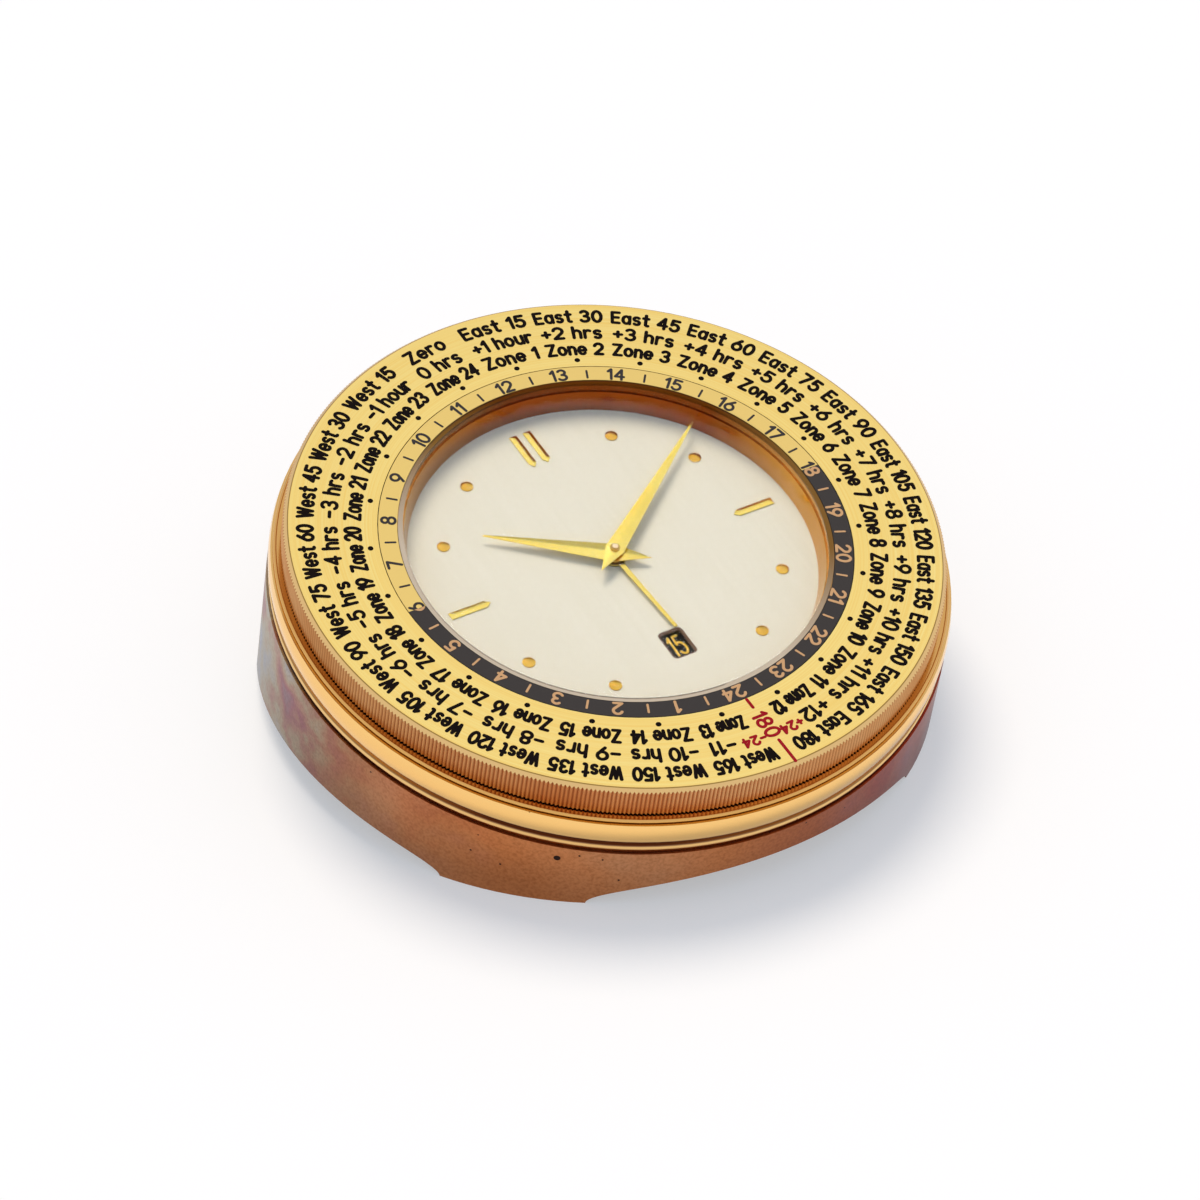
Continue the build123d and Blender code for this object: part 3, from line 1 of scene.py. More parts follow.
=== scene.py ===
# %% [markdown]
# # A world-time desk clock
# The solids of the clock come from a CAD model and stay as they are. This lesson dresses them: each
# metal, the glass and the dial get a finish of their own, the rings get their painted lettering, and a
# plain white table with soft light goes round it all. Everything is in metres in the scene, but the
# finishes are thought out in millimetres, as they are on a workbench.

# %% Load the solids
import json
from math import cos, degrees, pi, radians, sin

import bmesh
import bpy
from mathutils import Matrix, Vector


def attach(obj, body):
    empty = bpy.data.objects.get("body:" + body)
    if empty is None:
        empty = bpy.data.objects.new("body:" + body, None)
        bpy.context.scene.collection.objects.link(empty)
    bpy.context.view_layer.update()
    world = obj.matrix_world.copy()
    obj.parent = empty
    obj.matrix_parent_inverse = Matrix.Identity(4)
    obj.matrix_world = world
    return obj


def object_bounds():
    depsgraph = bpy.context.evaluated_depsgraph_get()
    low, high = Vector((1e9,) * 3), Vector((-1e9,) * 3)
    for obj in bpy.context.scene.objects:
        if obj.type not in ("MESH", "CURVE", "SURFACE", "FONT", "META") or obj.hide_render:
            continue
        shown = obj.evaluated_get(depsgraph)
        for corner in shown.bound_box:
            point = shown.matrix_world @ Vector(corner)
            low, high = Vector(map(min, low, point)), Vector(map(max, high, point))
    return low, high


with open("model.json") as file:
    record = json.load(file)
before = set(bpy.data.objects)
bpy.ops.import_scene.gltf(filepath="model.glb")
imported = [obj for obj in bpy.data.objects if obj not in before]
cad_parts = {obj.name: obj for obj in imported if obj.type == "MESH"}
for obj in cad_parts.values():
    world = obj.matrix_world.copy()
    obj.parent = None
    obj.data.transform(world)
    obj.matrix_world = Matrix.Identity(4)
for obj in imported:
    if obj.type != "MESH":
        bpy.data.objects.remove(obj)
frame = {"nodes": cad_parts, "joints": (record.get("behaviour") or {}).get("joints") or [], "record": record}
cad_box = [list(corner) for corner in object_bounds()]
nodes = frame["nodes"]
print(len(nodes), "solids, box", cad_box)

# %% [markdown]
# ## The dial's own frame
# The clock leans back by about ten degrees, so nothing on it is level. It could be dressed in the
# room's coordinates, but then every ring would be a slanted ellipse. The joint of the turning ring
# already says where the dial's axis is, so a frame is built on it: x to 3 o'clock, y to 12 and z out of
# the dial, with the top of the rings at z = 0.

# %% Build the dial's frame from the turning ring's joint
MM = 0.001
ring_joint = next(joint for joint in frame["joints"] if joint["name"] == "zone_ring_turn")
out_of_dial = -Vector(ring_joint["axis"])
to_three = Vector((1, 0, 0))
to_twelve = out_of_dial.cross(to_three)
DIAL = Matrix((to_three, to_twelve, out_of_dial)).transposed().to_4x4()
DIAL.translation = Vector(ring_joint["pos_m"])
mm_shift, mm_turn, _ = DIAL.inverted().decompose()
print("the dial leans", round(degrees(out_of_dial.angle(Vector((0, 0, 1)))), 1), "degrees")

# %% [markdown]
# ## Helpers for materials
# Colours are written as the sRGB hex values that a paint chart would give, and Blender's shaders want
# linear light, so one function turns one into the other. A second small function adds a node: values go
# on its sockets, outputs of other nodes are linked to them. Every finish below is made with these two.

# %% Colour and node helpers
def linear(hex_colour):
    """The linear red, green, blue and alpha of an sRGB hex colour, by the formula of the standard."""
    parts = [int(hex_colour[i:i + 2], 16) / 255 for i in (1, 3, 5)]
    return [p / 12.92 if p <= 0.04045 else ((p + 0.055) / 1.055) ** 2.4 for p in parts] + [1.0]


def connect(tree, node, inputs):
    """Links each output given to a socket of the node, and sets each plain value on its socket."""
    for key, value in inputs.items():
        if isinstance(value, bpy.types.NodeSocket):
            tree.links.new(value, node.inputs[key])
        else:
            node.inputs[key].default_value = value


def add(tree, kind, inputs=None, stops=None, **settings):
    """Adds a node with its settings, links and, on a colour ramp, its stops."""
    node = tree.nodes.new("ShaderNode" + kind)
    for key, value in settings.items():
        setattr(node, key, value)
    if stops:
        elements = node.color_ramp.elements
        while len(elements) < len(stops):
            elements.new(1.0)
        for element, (place, colour) in zip(elements, stops):
            element.position, element.color = place, linear(colour)
    connect(tree, node, inputs or {})
    return node


def finish(name, inputs=None):
    """A new material with its shader's plain values set, as (material, node tree, shader)."""
    made = bpy.data.materials.new(name)
    made.use_nodes = True
    shader = made.node_tree.nodes["Principled BSDF"]
    connect(made.node_tree, shader, inputs or {})
    return made, made.node_tree, shader


print("a gilt #E8BC6C is", [round(part, 3) for part in linear("#E8BC6C")[:3]], "in linear light")

# %% [markdown]
# ## Steps that come again and again
# Most finishes are built from the same few steps: a sum, a number stretched from one range to another, a
# colour looked up on a ramp, two colours blended, and noise of a real size. Each could be written out with
# the function above, but a finish reads better when a step takes one short line, so each has its own.

# %% Sums, ranges, ramps, blends and noise
def calc(tree, operation, *values):
    """The result of a sum, such as ADD or MULTIPLY, on the values."""
    return add(tree, "Math", dict(enumerate(values)), operation=operation).outputs[0]


def span(tree, value, start, end, low=0.0, high=1.0):
    """The value stretched so that start to end becomes low to high, and held at these ends."""
    return add(tree, "MapRange", {"Value": value, 1: start, 2: end, 3: low, 4: high}).outputs[0]


def ramp(tree, value, stops):
    """The colour that a list of (place, hex colour) stops has at the value."""
    return add(tree, "ValToRGB", {"Fac": value}, stops=stops).outputs[0]


def blend(tree, share, under, over, how="MIX"):
    """Two colours, hex values or sockets, mixed by a share from 0 to 1, or multiplied."""
    under, over = [linear(colour) if isinstance(colour, str) else colour for colour in (under, over)]
    return add(tree, "Mix", {0: share, 6: under, 7: over}, data_type="RGBA", blend_type=how).outputs[2]


def noise(tree, place, size, detail=2.0):
    """Noise whose clouds are about size mm across."""
    return add(tree, "TexNoise", {"Vector": place, "Scale": 1 / size, "Detail": detail}).outputs["Fac"]


print("five steps for the finishes")

# %% [markdown]
# ## Places on the clock, in millimetres
# The finishes follow the lathe: grain runs round the axis, tarnish changes with depth, and the skirt's
# colours change round its edge. A texture in room coordinates could not follow that, so this function
# turns a point of the surface into the dial's frame, in millimetres, with its radius, its depth below the
# top of the rings, and its turn round the axis, from 0 at 3 o'clock by 12 and 9 back to 1.

# %% Coordinates that follow the lathe
def lathe(tree):
    """Sockets for a surface point: its place (x, y, z), x, y, radius and depth in mm, and its turn."""
    here = add(tree, "TexCoord").outputs["Object"]
    place = add(tree, "Mapping", {"Vector": here, "Location": mm_shift / MM, "Rotation": mm_turn.to_euler(),
                                  "Scale": (1 / MM,) * 3}).outputs["Vector"]
    split = add(tree, "SeparateXYZ", {"Vector": place})
    x, y, z = [split.outputs[way] for way in "XYZ"]
    flat = add(tree, "CombineXYZ", {"X": x, "Y": y}).outputs[0]
    radius = add(tree, "VectorMath", {0: flat}, operation="LENGTH").outputs["Value"]
    depth = calc(tree, "MULTIPLY", z, -1.0)
    share = calc(tree, "DIVIDE", calc(tree, "ARCTAN2", y, x), 2 * pi)
    turn = calc(tree, "FRACT", share)
    return {"place": place, "x": x, "y": y, "radius": radius, "depth": depth, "turn": turn}


def streaks(tree, along, across, wide, long, detail):
    """Noise drawn out like tool marks: wide mm from mark to mark one way, long mm the other ways."""
    marks = calc(tree, "MULTIPLY", along, 1 / wide)
    drift = [calc(tree, "MULTIPLY", way, 1 / long) for way in across]
    spread = add(tree, "CombineXYZ", dict(zip("XYZ", [marks] + drift))).outputs[0]
    return noise(tree, spread, 1.0, detail)


print("surface points are measured from", [round(part, 4) for part in DIAL.translation], "m")

# %% [markdown]
# ## The turning ring: brushed gilt over a copper-brown coin edge
# The ring is turned brass, plated with gold and then brushed on the lathe, so its face shows fine rings
# that spread each highlight. A chamfer was turned through its coin edge, and the teeth below, handled for
# decades, have worn to the copper colour under the plating. Two materials could share the solid, but the
# wear follows the chamfer's cone exactly, so one material changes there, and the grain is noise that runs
# round the axis and changes only with radius.

# %% Brushed gilt
BRUSH_MM = 0.25      # real brush marks are about 0.05 mm apart, too fine to show, so these are coarser
BRUSH_LENGTH_MM, BRUSH_DETAIL = 60.0, 4.0
BRUSH_DEPTH_MM, BRUSH_RELIEF = 0.02, 0.08
BRUSHED_ROUGHNESS = 0.36
BRUSHED = [(0.25, "#FAD374"), (0.75, "#FFE794")]
CHAMFER_MM = 57.2      # radius where the flat face ends; the chamfer falls at 45 degrees from here
LINE_BLUR_MM = 0.06
# painted shade: a thin dark line where the flat face meets the chamfer, in place of a fine groove's shade
CORNER_SHADE_LINE, CHAMFER = "#9A7E42", "#DDB87E"
# the tooth feet are darker than the tips: copper-brown wear with painted shade between the teeth
TOOTH_FOOT_MM, TOOTH_TIP_MM, WEAR_MM = 57.7, 58.0, 8.33
TOOTH_FOOT, TOOTH_TIP = "#B47444", [(0.3, "#E9A86E"), (0.7, "#F4BE86")]
# painted shade round the coin edge: darker towards 3 and 9 o'clock, lightest at the front left
EDGE_SHADE_ROUND = [(0.0, "#E4E6DC"), (0.25, "#FFFFFF"), (0.42, "#E4E2DC"), (0.5, "#D8D6CC"), (0.6, "#F4F4F0"),
                 (0.68, "#FFFFFF"), (0.76, "#FAFAF6"), (0.84, "#E4E6DC")]


def brushed_gilt():
    """Brushed gilt on the flat face, a paler chamfer, and copper-brown wear with painted shade on the coin
    edge below it.
    """
    made, tree, shader = finish("gold_plated_brass_brushed", {"Metallic": 1.0,
                                                              "Roughness": BRUSHED_ROUGHNESS})
    at = lathe(tree)
    grain = streaks(tree, at["radius"], (at["x"], at["y"]), BRUSH_MM, BRUSH_LENGTH_MM, BRUSH_DETAIL)
    past = calc(tree, "SUBTRACT", at["radius"], CHAMFER_MM)
    on_chamfer = span(tree, past, -2 * LINE_BLUR_MM, -LINE_BLUR_MM)
    off_line = span(tree, past, LINE_BLUR_MM, 2 * LINE_BLUR_MM)
    # the thin dark line at the chamfer's inner edge is painted shade
    rim = blend(tree, off_line, CORNER_SHADE_LINE, CHAMFER)
    gilt = blend(tree, on_chamfer, ramp(tree, grain, BRUSHED), rim)
    patches = noise(tree, at["place"], WEAR_MM)
    tooth = span(tree, at["radius"], TOOTH_FOOT_MM, TOOTH_TIP_MM)
    # copper-brown wear, with painted shade at the tooth feet and round the edge
    worn_and_shaded = blend(tree, tooth, TOOTH_FOOT, ramp(tree, patches, TOOTH_TIP))
    worn_and_shaded = blend(tree, 1.0, worn_and_shaded, ramp(tree, at["turn"], EDGE_SHADE_ROUND), how="MULTIPLY")
    below = calc(tree, "SUBTRACT", at["depth"], past)
    flank = span(tree, below, LINE_BLUR_MM / 2, LINE_BLUR_MM)
    edge = calc(tree, "MULTIPLY", flank, on_chamfer)
    bump = add(tree, "Bump", {"Height": grain, "Strength": BRUSH_RELIEF, "Distance": BRUSH_DEPTH_MM * MM})
    connect(tree, shader, {"Base Color": blend(tree, edge, gilt, worn_and_shaded), "Normal": bump.outputs[0]})
    return made


brushed = brushed_gilt()
print("brush marks drawn", BRUSH_MM, "mm apart")

# %% [markdown]
# ## The moulded ring: polished gilt
# Between the turning ring and the skirt is a polished moulding: a band, a hollow and a bead, with fine dark
# lines in the corners. The corners could be left to shadow alone, but here their colour darkens at those
# depths: partly old tarnish, partly painted shade. In front the hollow is painted brown, a painted
# reflection of something dark, and at the sides it is painted bright, a painted reflection of light, so
# there are two lists of colours, mixed round the edge. The polish itself is a low roughness, and small dark
# specks show where the plating has gone.

# %% Polished gilt, with grime in its corners
POLISHED_ROUGHNESS = 0.14
BAND_TOP_MM, BAND_FOOT_MM = 6.0, 14.2
# colours by depth in mm; the dark rows in the corners are partly tarnish and partly painted shade
BAND = [(6.0, "#C9975A"), (6.8, "#E3B566"), (6.9, "#5A3A22"), (7.05, "#F8C97E"), (11.0, "#F5C274")]
# in front: a dark painted reflection in the hollow
FRONT_REFLECTION_ROWS = BAND + [(11.2, "#84543E"), (11.35, "#84543E"), (11.45, "#C29462"), (11.6, "#8C5A46"),
                (12.3, "#84523E"), (12.5, "#6A4230"), (12.65, "#DDB070"), (13.1, "#DDB070"),
                (13.25, "#8A5C3E"), (13.6, "#8A5C3E"), (13.8, "#D2A870"), (14.0, "#C89A62")]
# at the sides: a bright painted reflection in the hollow
SIDE_REFLECTION_ROWS = BAND + [(11.2, "#7A5230"), (11.4, "#EBC080"), (12.35, "#E3B674"), (12.5, "#8A6038"),
                 (12.65, "#EBC484"), (13.3, "#DDB070"), (13.5, "#9A7048"), (14.0, "#A87E50")]
# white where the hollow carries the dark painted reflection, in front; dark where it carries the bright one
REFLECTION_ROUND = [(0.0, "#505050"), (0.5, "#202020"), (0.55, "#606060"), (0.61, "#F0F0F0"), (0.69, "#F0F0F0"),
               (0.76, "#A0A0A0"), (0.84, "#505050")]
SPECK_SPACING_MM, SPECK_MM, SPECK_SHARE, SPECK = 1.9, 0.13, 0.12, "#5E3F28"


def specks(tree, place, spacing, size, share):
    """A mask of round spots up to size mm in radius, on a share of points about spacing mm apart."""
    cells = add(tree, "TexVoronoi", {"Vector": place, "Scale": 1 / spacing})
    near = calc(tree, "LESS_THAN", cells.outputs["Distance"], size / spacing)
    pick = add(tree, "SeparateColor", {0: cells.outputs["Color"]}).outputs[0]
    return calc(tree, "MULTIPLY", near, calc(tree, "LESS_THAN", pick, share))


def by_depth(tree, depth, rows):
    """The colour that a list of (depth in mm, hex colour) rows has at the depth."""
    level = span(tree, depth, BAND_TOP_MM, BAND_FOOT_MM)
    tall = BAND_FOOT_MM - BAND_TOP_MM
    return ramp(tree, level, [((row - BAND_TOP_MM) / tall, colour) for row, colour in rows])


def polished_moulding():
    """Polished gilt with painted shade and tarnish in the corners, painted reflections in the hollow, and
    bare specks.
    """
    made, tree, shader = finish("gold_plated_brass_polished", {"Metallic": 1.0,
                                                               "Roughness": POLISHED_ROUGHNESS})
    at = lathe(tree)
    # painted reflections: the side rows are bright in the hollow, the front rows dark
    side_reflection, front_reflection = [by_depth(tree, at["depth"], rows) for rows in (SIDE_REFLECTION_ROWS, FRONT_REFLECTION_ROWS)]
    colour = blend(tree, ramp(tree, at["turn"], REFLECTION_ROUND), side_reflection, front_reflection)
    bare = specks(tree, at["place"], SPECK_SPACING_MM, SPECK_MM, SPECK_SHARE)
    connect(tree, shader, {"Base Color": blend(tree, bare, colour, SPECK)})
    return made


polished = polished_moulding()
print("polished gilt from", BAND_TOP_MM, "to", BAND_FOOT_MM, "mm below the top of the rings")

# %% [markdown]
# ## The skirt: bare copper-coloured brass with heat tints
# The drum was polished and lacquered; the lacquer has gone in places, and the metal below has turned
# copper-brown, with bluish, rose and purple tints towards the sides and small dark pits. A single colour
# would look like a new part. The tints here are clouds of noise that grow stronger round the sides, a fine
# grit dulls the copper, and the pits are sparse round spots, one of them large.

# %% Tarnished copper-brown skirt
TINT_MM, TINT_DETAIL = 11.0, 5.0
CLOUD_MM, GRIT_MM, CLOUD_DETAIL = 30.0, 0.6, 3.0
SWAY = 0.05      # how far the clouds shift the tints round the edge, as a share of a turn
COPPER = [(0.3, "#C87C48"), (0.5, "#CE8654"), (0.7, "#C69068")]
GRIT = [(0.3, "#E4DCD4"), (0.6, "#FFFFFF")]
HEAT_TINTS = [(0.32, "#8C98B4"), (0.42, "#A6A5A0"), (0.5, "#ABA088"), (0.57, "#A87C70"), (0.64, "#96566A"),
              (0.72, "#8A6C80")]
# how far the tints go, round the edge: white on the left, black in front
TINTED = [(0.0, "#D8D8D8"), (0.1, "#505050"), (0.25, "#303030"), (0.36, "#B0B0B0"), (0.42, "#FFFFFF"),
          (0.49, "#E8E8E8"), (0.55, "#707070"), (0.6, "#101010"), (0.75, "#000000"), (0.81, "#A8A8A8"),
          (0.88, "#D8D8D8")]
# painted shade round the edge: lightest at the front left, a little darker at 9 o'clock, and darker towards
# the right, where it is also tinted purple
SHADE_ROUND = [(0.0, "#D0989C"), (0.3, "#FFFFFF"), (0.46, "#F4F4F4"), (0.5, "#D8DCDC"), (0.545, "#D4CCC4"),
               (0.585, "#FAF8F4"), (0.7, "#FFFFFF"), (0.75, "#E0C8C4"), (0.82, "#D08084"), (0.9, "#D0989C")]
# painted shade towards the foot: from full brightness at 17 mm down to 0.8 at 26 mm
SHADE_TOP_MM, SHADE_FOOT_MM, SHADE_FOOT = 17.0, 26.0, 0.8
SKIRT_ROUGHNESS = (0.28, 0.42)
PIT_SPACING_MM, PIT_MM, PIT_SHARE, PIT = 3.2, 0.2, 0.3, "#2A1A14"
LARGE_PIT_MM, LARGE_PIT_AT_MM = 0.6, (-37.5, -46.84, -16.78)


def tarnished_skirt():
    """Copper-brown with heat tints at the sides, painted shade round the edge and at the foot, gritty and
    pitted.
    """
    made, tree, shader = finish("tarnished_copper_brass", {"Metallic": 1.0})
    at = lathe(tree)
    cloud = noise(tree, at["place"], CLOUD_MM, CLOUD_DETAIL)
    film = noise(tree, at["place"], TINT_MM, TINT_DETAIL)
    grit = noise(tree, at["place"], GRIT_MM, CLOUD_DETAIL)
    sway = span(tree, cloud, 0.0, 1.0, -SWAY, SWAY)
    turn = calc(tree, "FRACT", calc(tree, "ADD", at["turn"], sway))
    colour = blend(tree, ramp(tree, turn, TINTED), ramp(tree, cloud, COPPER), ramp(tree, film, HEAT_TINTS))
    # the grit dulls the copper, and the ramp round the edge is painted shade
    for shade in (ramp(tree, grit, GRIT), ramp(tree, turn, SHADE_ROUND)):
        colour = blend(tree, 1.0, colour, shade, how="MULTIPLY")
    # painted shade: darker towards the foot
    foot = span(tree, at["depth"], SHADE_TOP_MM, SHADE_FOOT_MM, 1.0, SHADE_FOOT)
    colour = add(tree, "VectorMath", {0: colour, "Scale": foot}, operation="SCALE").outputs[0]
    away = add(tree, "VectorMath", {0: at["place"], 1: LARGE_PIT_AT_MM}, operation="DISTANCE")
    large = calc(tree, "LESS_THAN", away.outputs["Value"], LARGE_PIT_MM)
    pits = calc(tree, "MAXIMUM", specks(tree, at["place"], PIT_SPACING_MM, PIT_MM, PIT_SHARE), large)
    rough = span(tree, film, 0.0, 1.0, *SKIRT_ROUGHNESS)
    connect(tree, shader, {"Base Color": blend(tree, pits, colour, PIT), "Roughness": rough})
    return made


tarnished = tarnished_skirt()
print("tints about", TINT_MM, "mm across")

# %% [markdown]
# ## The 24-hour ring: half gilt for day, half black for night
# This flat ring is gilt from 6 to 18 and black enamelled from 18 to 6. It could be two half rings, but on the
# clock it is one plate whose enamel stops on the line from 9 to 3 o'clock, so the material changes where y
# passes zero. Its numbers change there too: black on gold, copper-coloured on black.

# %% Day and night enamel
EDGE_MM = 0.05


def day_and_night(name, night, day):
    """A material that changes where y passes zero; night and day are each (colour, metallic, roughness)."""
    made, tree, shader = finish(name)
    lit = span(tree, lathe(tree)["y"], -EDGE_MM, EDGE_MM)
    metal, rough = [span(tree, lit, 0.0, 1.0, dark, light) for dark, light in zip(night[1:], day[1:])]
    connect(tree, shader, {"Base Color": blend(tree, lit, night[0], day[0]), "Metallic": metal,
                           "Roughness": rough})
    return made


hour_ring = day_and_night("gilt_and_black_enamel", night=("#1E1512", 0.0, 0.38), day=("#F3D27E", 1.0, 0.34))
print("the enamel changes within", 2 * EDGE_MM, "mm")

# %% [markdown]
# ## The lip and the wall down to the dial
# The lip that holds the glass is polished gilt, and below it a sloping wall leads down to the dial. Both are
# one turned piece, and a single gilt could serve, but the far side is seen in shade and is painted brown as
# painted shade, while the near side of the lip is painted pale as a painted reflection. So each has a few
# colours round the axis.

# %% Lip and wall
LIP_ROUGHNESS = 0.16
LIP_DEPTH_MM, LIP_BLUR_MM = 0.35, 0.3
# the wall's own gilt, and the painted shade of its far side
GILT, SHADED_WALL = "#D8A050", "#8C4410"
# painted shade on the lip's far side, and a pale painted reflection on its near side
DULL, SHADED_LIP, PALE_REFLECTION = "#805C2C", "#5C3008", "#C8B8A4"
# painted shade, darkest on the far side, between 12 and 3 o'clock
WALL = [(0.0, GILT), (0.09, SHADED_WALL), (0.25, SHADED_WALL), (0.4, GILT)]
LIP = [(0.0, DULL), (0.09, SHADED_LIP), (0.26, SHADED_LIP), (0.33, DULL), (0.44, PALE_REFLECTION), (0.8, PALE_REFLECTION),
       (0.92, DULL)]


def lip_and_wall():
    """Polished gilt with one row of colours for the lip's top and another for the wall."""
    made, tree, shader = finish("gold_plated_brass_lip", {"Metallic": 1.0, "Roughness": LIP_ROUGHNESS})
    at = lathe(tree)
    inner = span(tree, at["depth"], LIP_DEPTH_MM, LIP_DEPTH_MM + LIP_BLUR_MM)
    colour = blend(tree, inner, ramp(tree, at["turn"], LIP), ramp(tree, at["turn"], WALL))
    connect(tree, shader, {"Base Color": colour})
    return made


lip = lip_and_wall()
print("the wall starts", LIP_DEPTH_MM, "mm down")

# %% [markdown]
# ## The glass
# The glass is flat mineral glass. A shader with full transmission refracts as glass does, but it would also
# mirror the white room and keep the lamps' light from the dial, so only a small share of it is glass and the
# rest is clear.

# %% Flat glass
GLASS_SHARE = 0.03      # the glass in the picture mirrors next to nothing, so most light just passes
GLASS_INDEX = 1.5

glass, _, _ = finish("mineral_glass_polished", {
    "Base Color": linear("#FFFFFF"), "Roughness": 0.0, "IOR": GLASS_INDEX, "Transmission Weight": 1.0,
    "Alpha": GLASS_SHARE})
print("glass with an index of", GLASS_INDEX)

# %% [markdown]
# ## The dial
# The dial is silvered and lacquered matt, with a straight grain from 12 to 6 that is felt more than seen. The
# window for the date has a brown bevel, darkened as painted shade. It could have a material of its own, but
# it is cut in the same plate, so the colour changes a little below the face.

# %% Silvered dial
DIAL_GRAIN_MM = 0.3      # real graining is under 0.1 mm, too fine to show, so it is drawn coarser
DIAL_GRAIN_LENGTH_MM, DIAL_GRAIN_DETAIL = 25.0, 3.0
DIAL_ROUGHNESS = 0.45
SILVERING = [(0.25, "#E2DDC6"), (0.75, "#EDE8D4")]
# the bevel's brown is darkened as painted shade in the window
BEVEL_TOP_MM, BEVEL_BLUR_MM, SHADED_BEVEL = 5.47, 0.05, "#6A4A34"


def silvered_dial():
    """Matt silvering with a straight grain, and the brown bevel of the date window, darkened as painted
    shade.
    """
    made, tree, shader = finish("silvered_brass_lacquered", {"Roughness": DIAL_ROUGHNESS})
    at = lathe(tree)
    ways = (at["y"], at["depth"])
    grain = streaks(tree, at["x"], ways, DIAL_GRAIN_MM, DIAL_GRAIN_LENGTH_MM, DIAL_GRAIN_DETAIL)
    below = span(tree, at["depth"], BEVEL_TOP_MM, BEVEL_TOP_MM + BEVEL_BLUR_MM)
    connect(tree, shader, {"Base Color": blend(tree, below, ramp(tree, grain, SILVERING), SHADED_BEVEL)})
    return made


silvered = silvered_dial()
print("dial grain drawn", DIAL_GRAIN_MM, "mm apart")

# %% [markdown]
# ## Hands, markers and the works
# Hands and markers are polished gold: their facets do the work, so their finish is plain apart from a
# faint unevenness of the polish. The works below are brass and steel as a movement maker leaves them, and
# their springs are blued by heat. One function could give all of them one metal, but although these pieces
# show only when the clock is turned over or opened, each has its own.

# %% Plain metals with a slight unevenness
POLISH_DRIFT = 0.04      # how far the roughness drifts either way
DRIFT_LOW, DRIFT_HIGH = 0.3, 0.7


def plain_metal(name, dark, light, roughness, patch_mm):
    """A metal whose colour and polish drift over patches patch_mm across."""
    made, tree, shader = finish(name, {"Metallic": 1.0})
    drift = noise(tree, lathe(tree)["place"], patch_mm)
    rough = span(tree, drift, 0.0, 1.0, roughness - POLISH_DRIFT, roughness + POLISH_DRIFT)
    colour = ramp(tree, drift, [(DRIFT_LOW, dark), (DRIFT_HIGH, light)])
    connect(tree, shader, {"Base Color": colour, "Roughness": rough})
    return made


hand_gold = plain_metal("polished_gold_hands", "#F2D666", "#F8E27A", roughness=0.16, patch_mm=8.0)
marker_gold = plain_metal("polished_gold_markers", "#DCA838", "#EBC050", roughness=0.18, patch_mm=2.0)
brass = plain_metal("machined_brass", "#B8924C", "#CBA75E", roughness=0.3, patch_mm=6.0)
knob_brass = plain_metal("turned_brass_controls", "#B98F45", "#D0A75A", roughness=0.26, patch_mm=3.0)
steel = plain_metal("polished_steel", "#A2A3A6", "#BCBDC0", roughness=0.24, patch_mm=3.0)
nickel_silver = plain_metal("polished_nickel_silver", "#F0D8B2", "#FBE9CC", roughness=0.2, patch_mm=1.0)
cover_steel = plain_metal("spun_nickelled_steel", "#A6A6A2", "#BDBDB8", roughness=0.32, patch_mm=12.0)
blued = plain_metal("blued_spring_steel", "#26325E", "#3B4C86", roughness=0.26, patch_mm=3.0)
print("eight plain metals")

# %% [markdown]
# ## Enamel and paint
# The date ring is black enamel, and its numbers are gold. The lettering on the turning ring is black
# paint rubbed into cut letters, and the date line is red. These are paints: not metal, at most a little
# glossy, and a slight drift of colour keeps them from looking printed by a screen.

# %% Paints
PAINT_DRIFT_MM = 1.25
GLOSSY, RUBBED_IN = 0.2, 0.06      # how much paint mirrors: brushed on, or rubbed into cut letters


def paint(name, dark, light, roughness, gloss):
    """A paint whose colour drifts a little."""
    made, tree, shader = finish(name, {"Roughness": roughness, "Specular IOR Level": gloss})
    drift = noise(tree, lathe(tree)["place"], PAINT_DRIFT_MM)
    connect(tree, shader, {"Base Color": ramp(tree, drift, [(DRIFT_LOW, dark), (DRIFT_HIGH, light)])})
    return made


black_enamel = paint("black_enamel", "#070504", "#0D0A08", roughness=0.4, gloss=GLOSSY)
letter_black = paint("black_engraving_paint", "#0A0504", "#120A08", roughness=0.6, gloss=RUBBED_IN)
line_red = paint("red_engraving_paint", "#94141E", "#A41C26", roughness=0.6, gloss=RUBBED_IN)
hour_paint = day_and_night("hour_number_paint", night=("#C99C6C", 0.0, 0.5), day=("#181014", 0.0, 0.5))
date_gold = paint("gold_number_paint", "#E4B436", "#F2C84E", roughness=0.4, gloss=GLOSSY)
print("five paints")

# %% [markdown]
# ## Which solid gets which finish
# Each solid names a slot in the model's record, such as zone_gilt. A table from slot to finish dresses
# every solid at once and misses none. A few solids are set apart by name: the springs and the gong are
# blued, the batons are polished like the hands, and the arbor whose end shows is pale nickel silver.

# %% Dress the solids
FINISH_OF = {"skirt_copper": tarnished, "ring_gilt": polished, "zone_gilt": brushed,
             "day_ring_enamel": hour_ring, "lip_gilt": lip, "crystal_glass": glass,
             "dial_silvered": silvered, "marker_gilt": marker_gold, "hand_gilt": hand_gold,
             "date_enamel": black_enamel, "cover_steel": cover_steel, "control_brass": knob_brass,
             "movement_brass": brass, "movement_steel": steel}
SET_APART = {"hairspring": blued, "gong": blued, "time_mainspring": blued, "alarm_mainspring": blued,
             "center_arbor": nickel_silver, "baton_markers": hand_gold}

for part in frame["record"]["subparts"]:
    solid = nodes[part["node"]]
    solid.data.materials.clear()
    solid.data.materials.append(SET_APART.get(part["node"], FINISH_OF[part["material_slot"]]))

# %% [markdown]
# ## Letters as pen strokes
# The lettering on the real ring was cut with an engraving machine, whose round tool leaves strokes of one
# width with round ends. A typeface could be bent round the ring, but its outlines are not of that kind. So
# each letter is a few strokes on a grid whose capital height is 1.

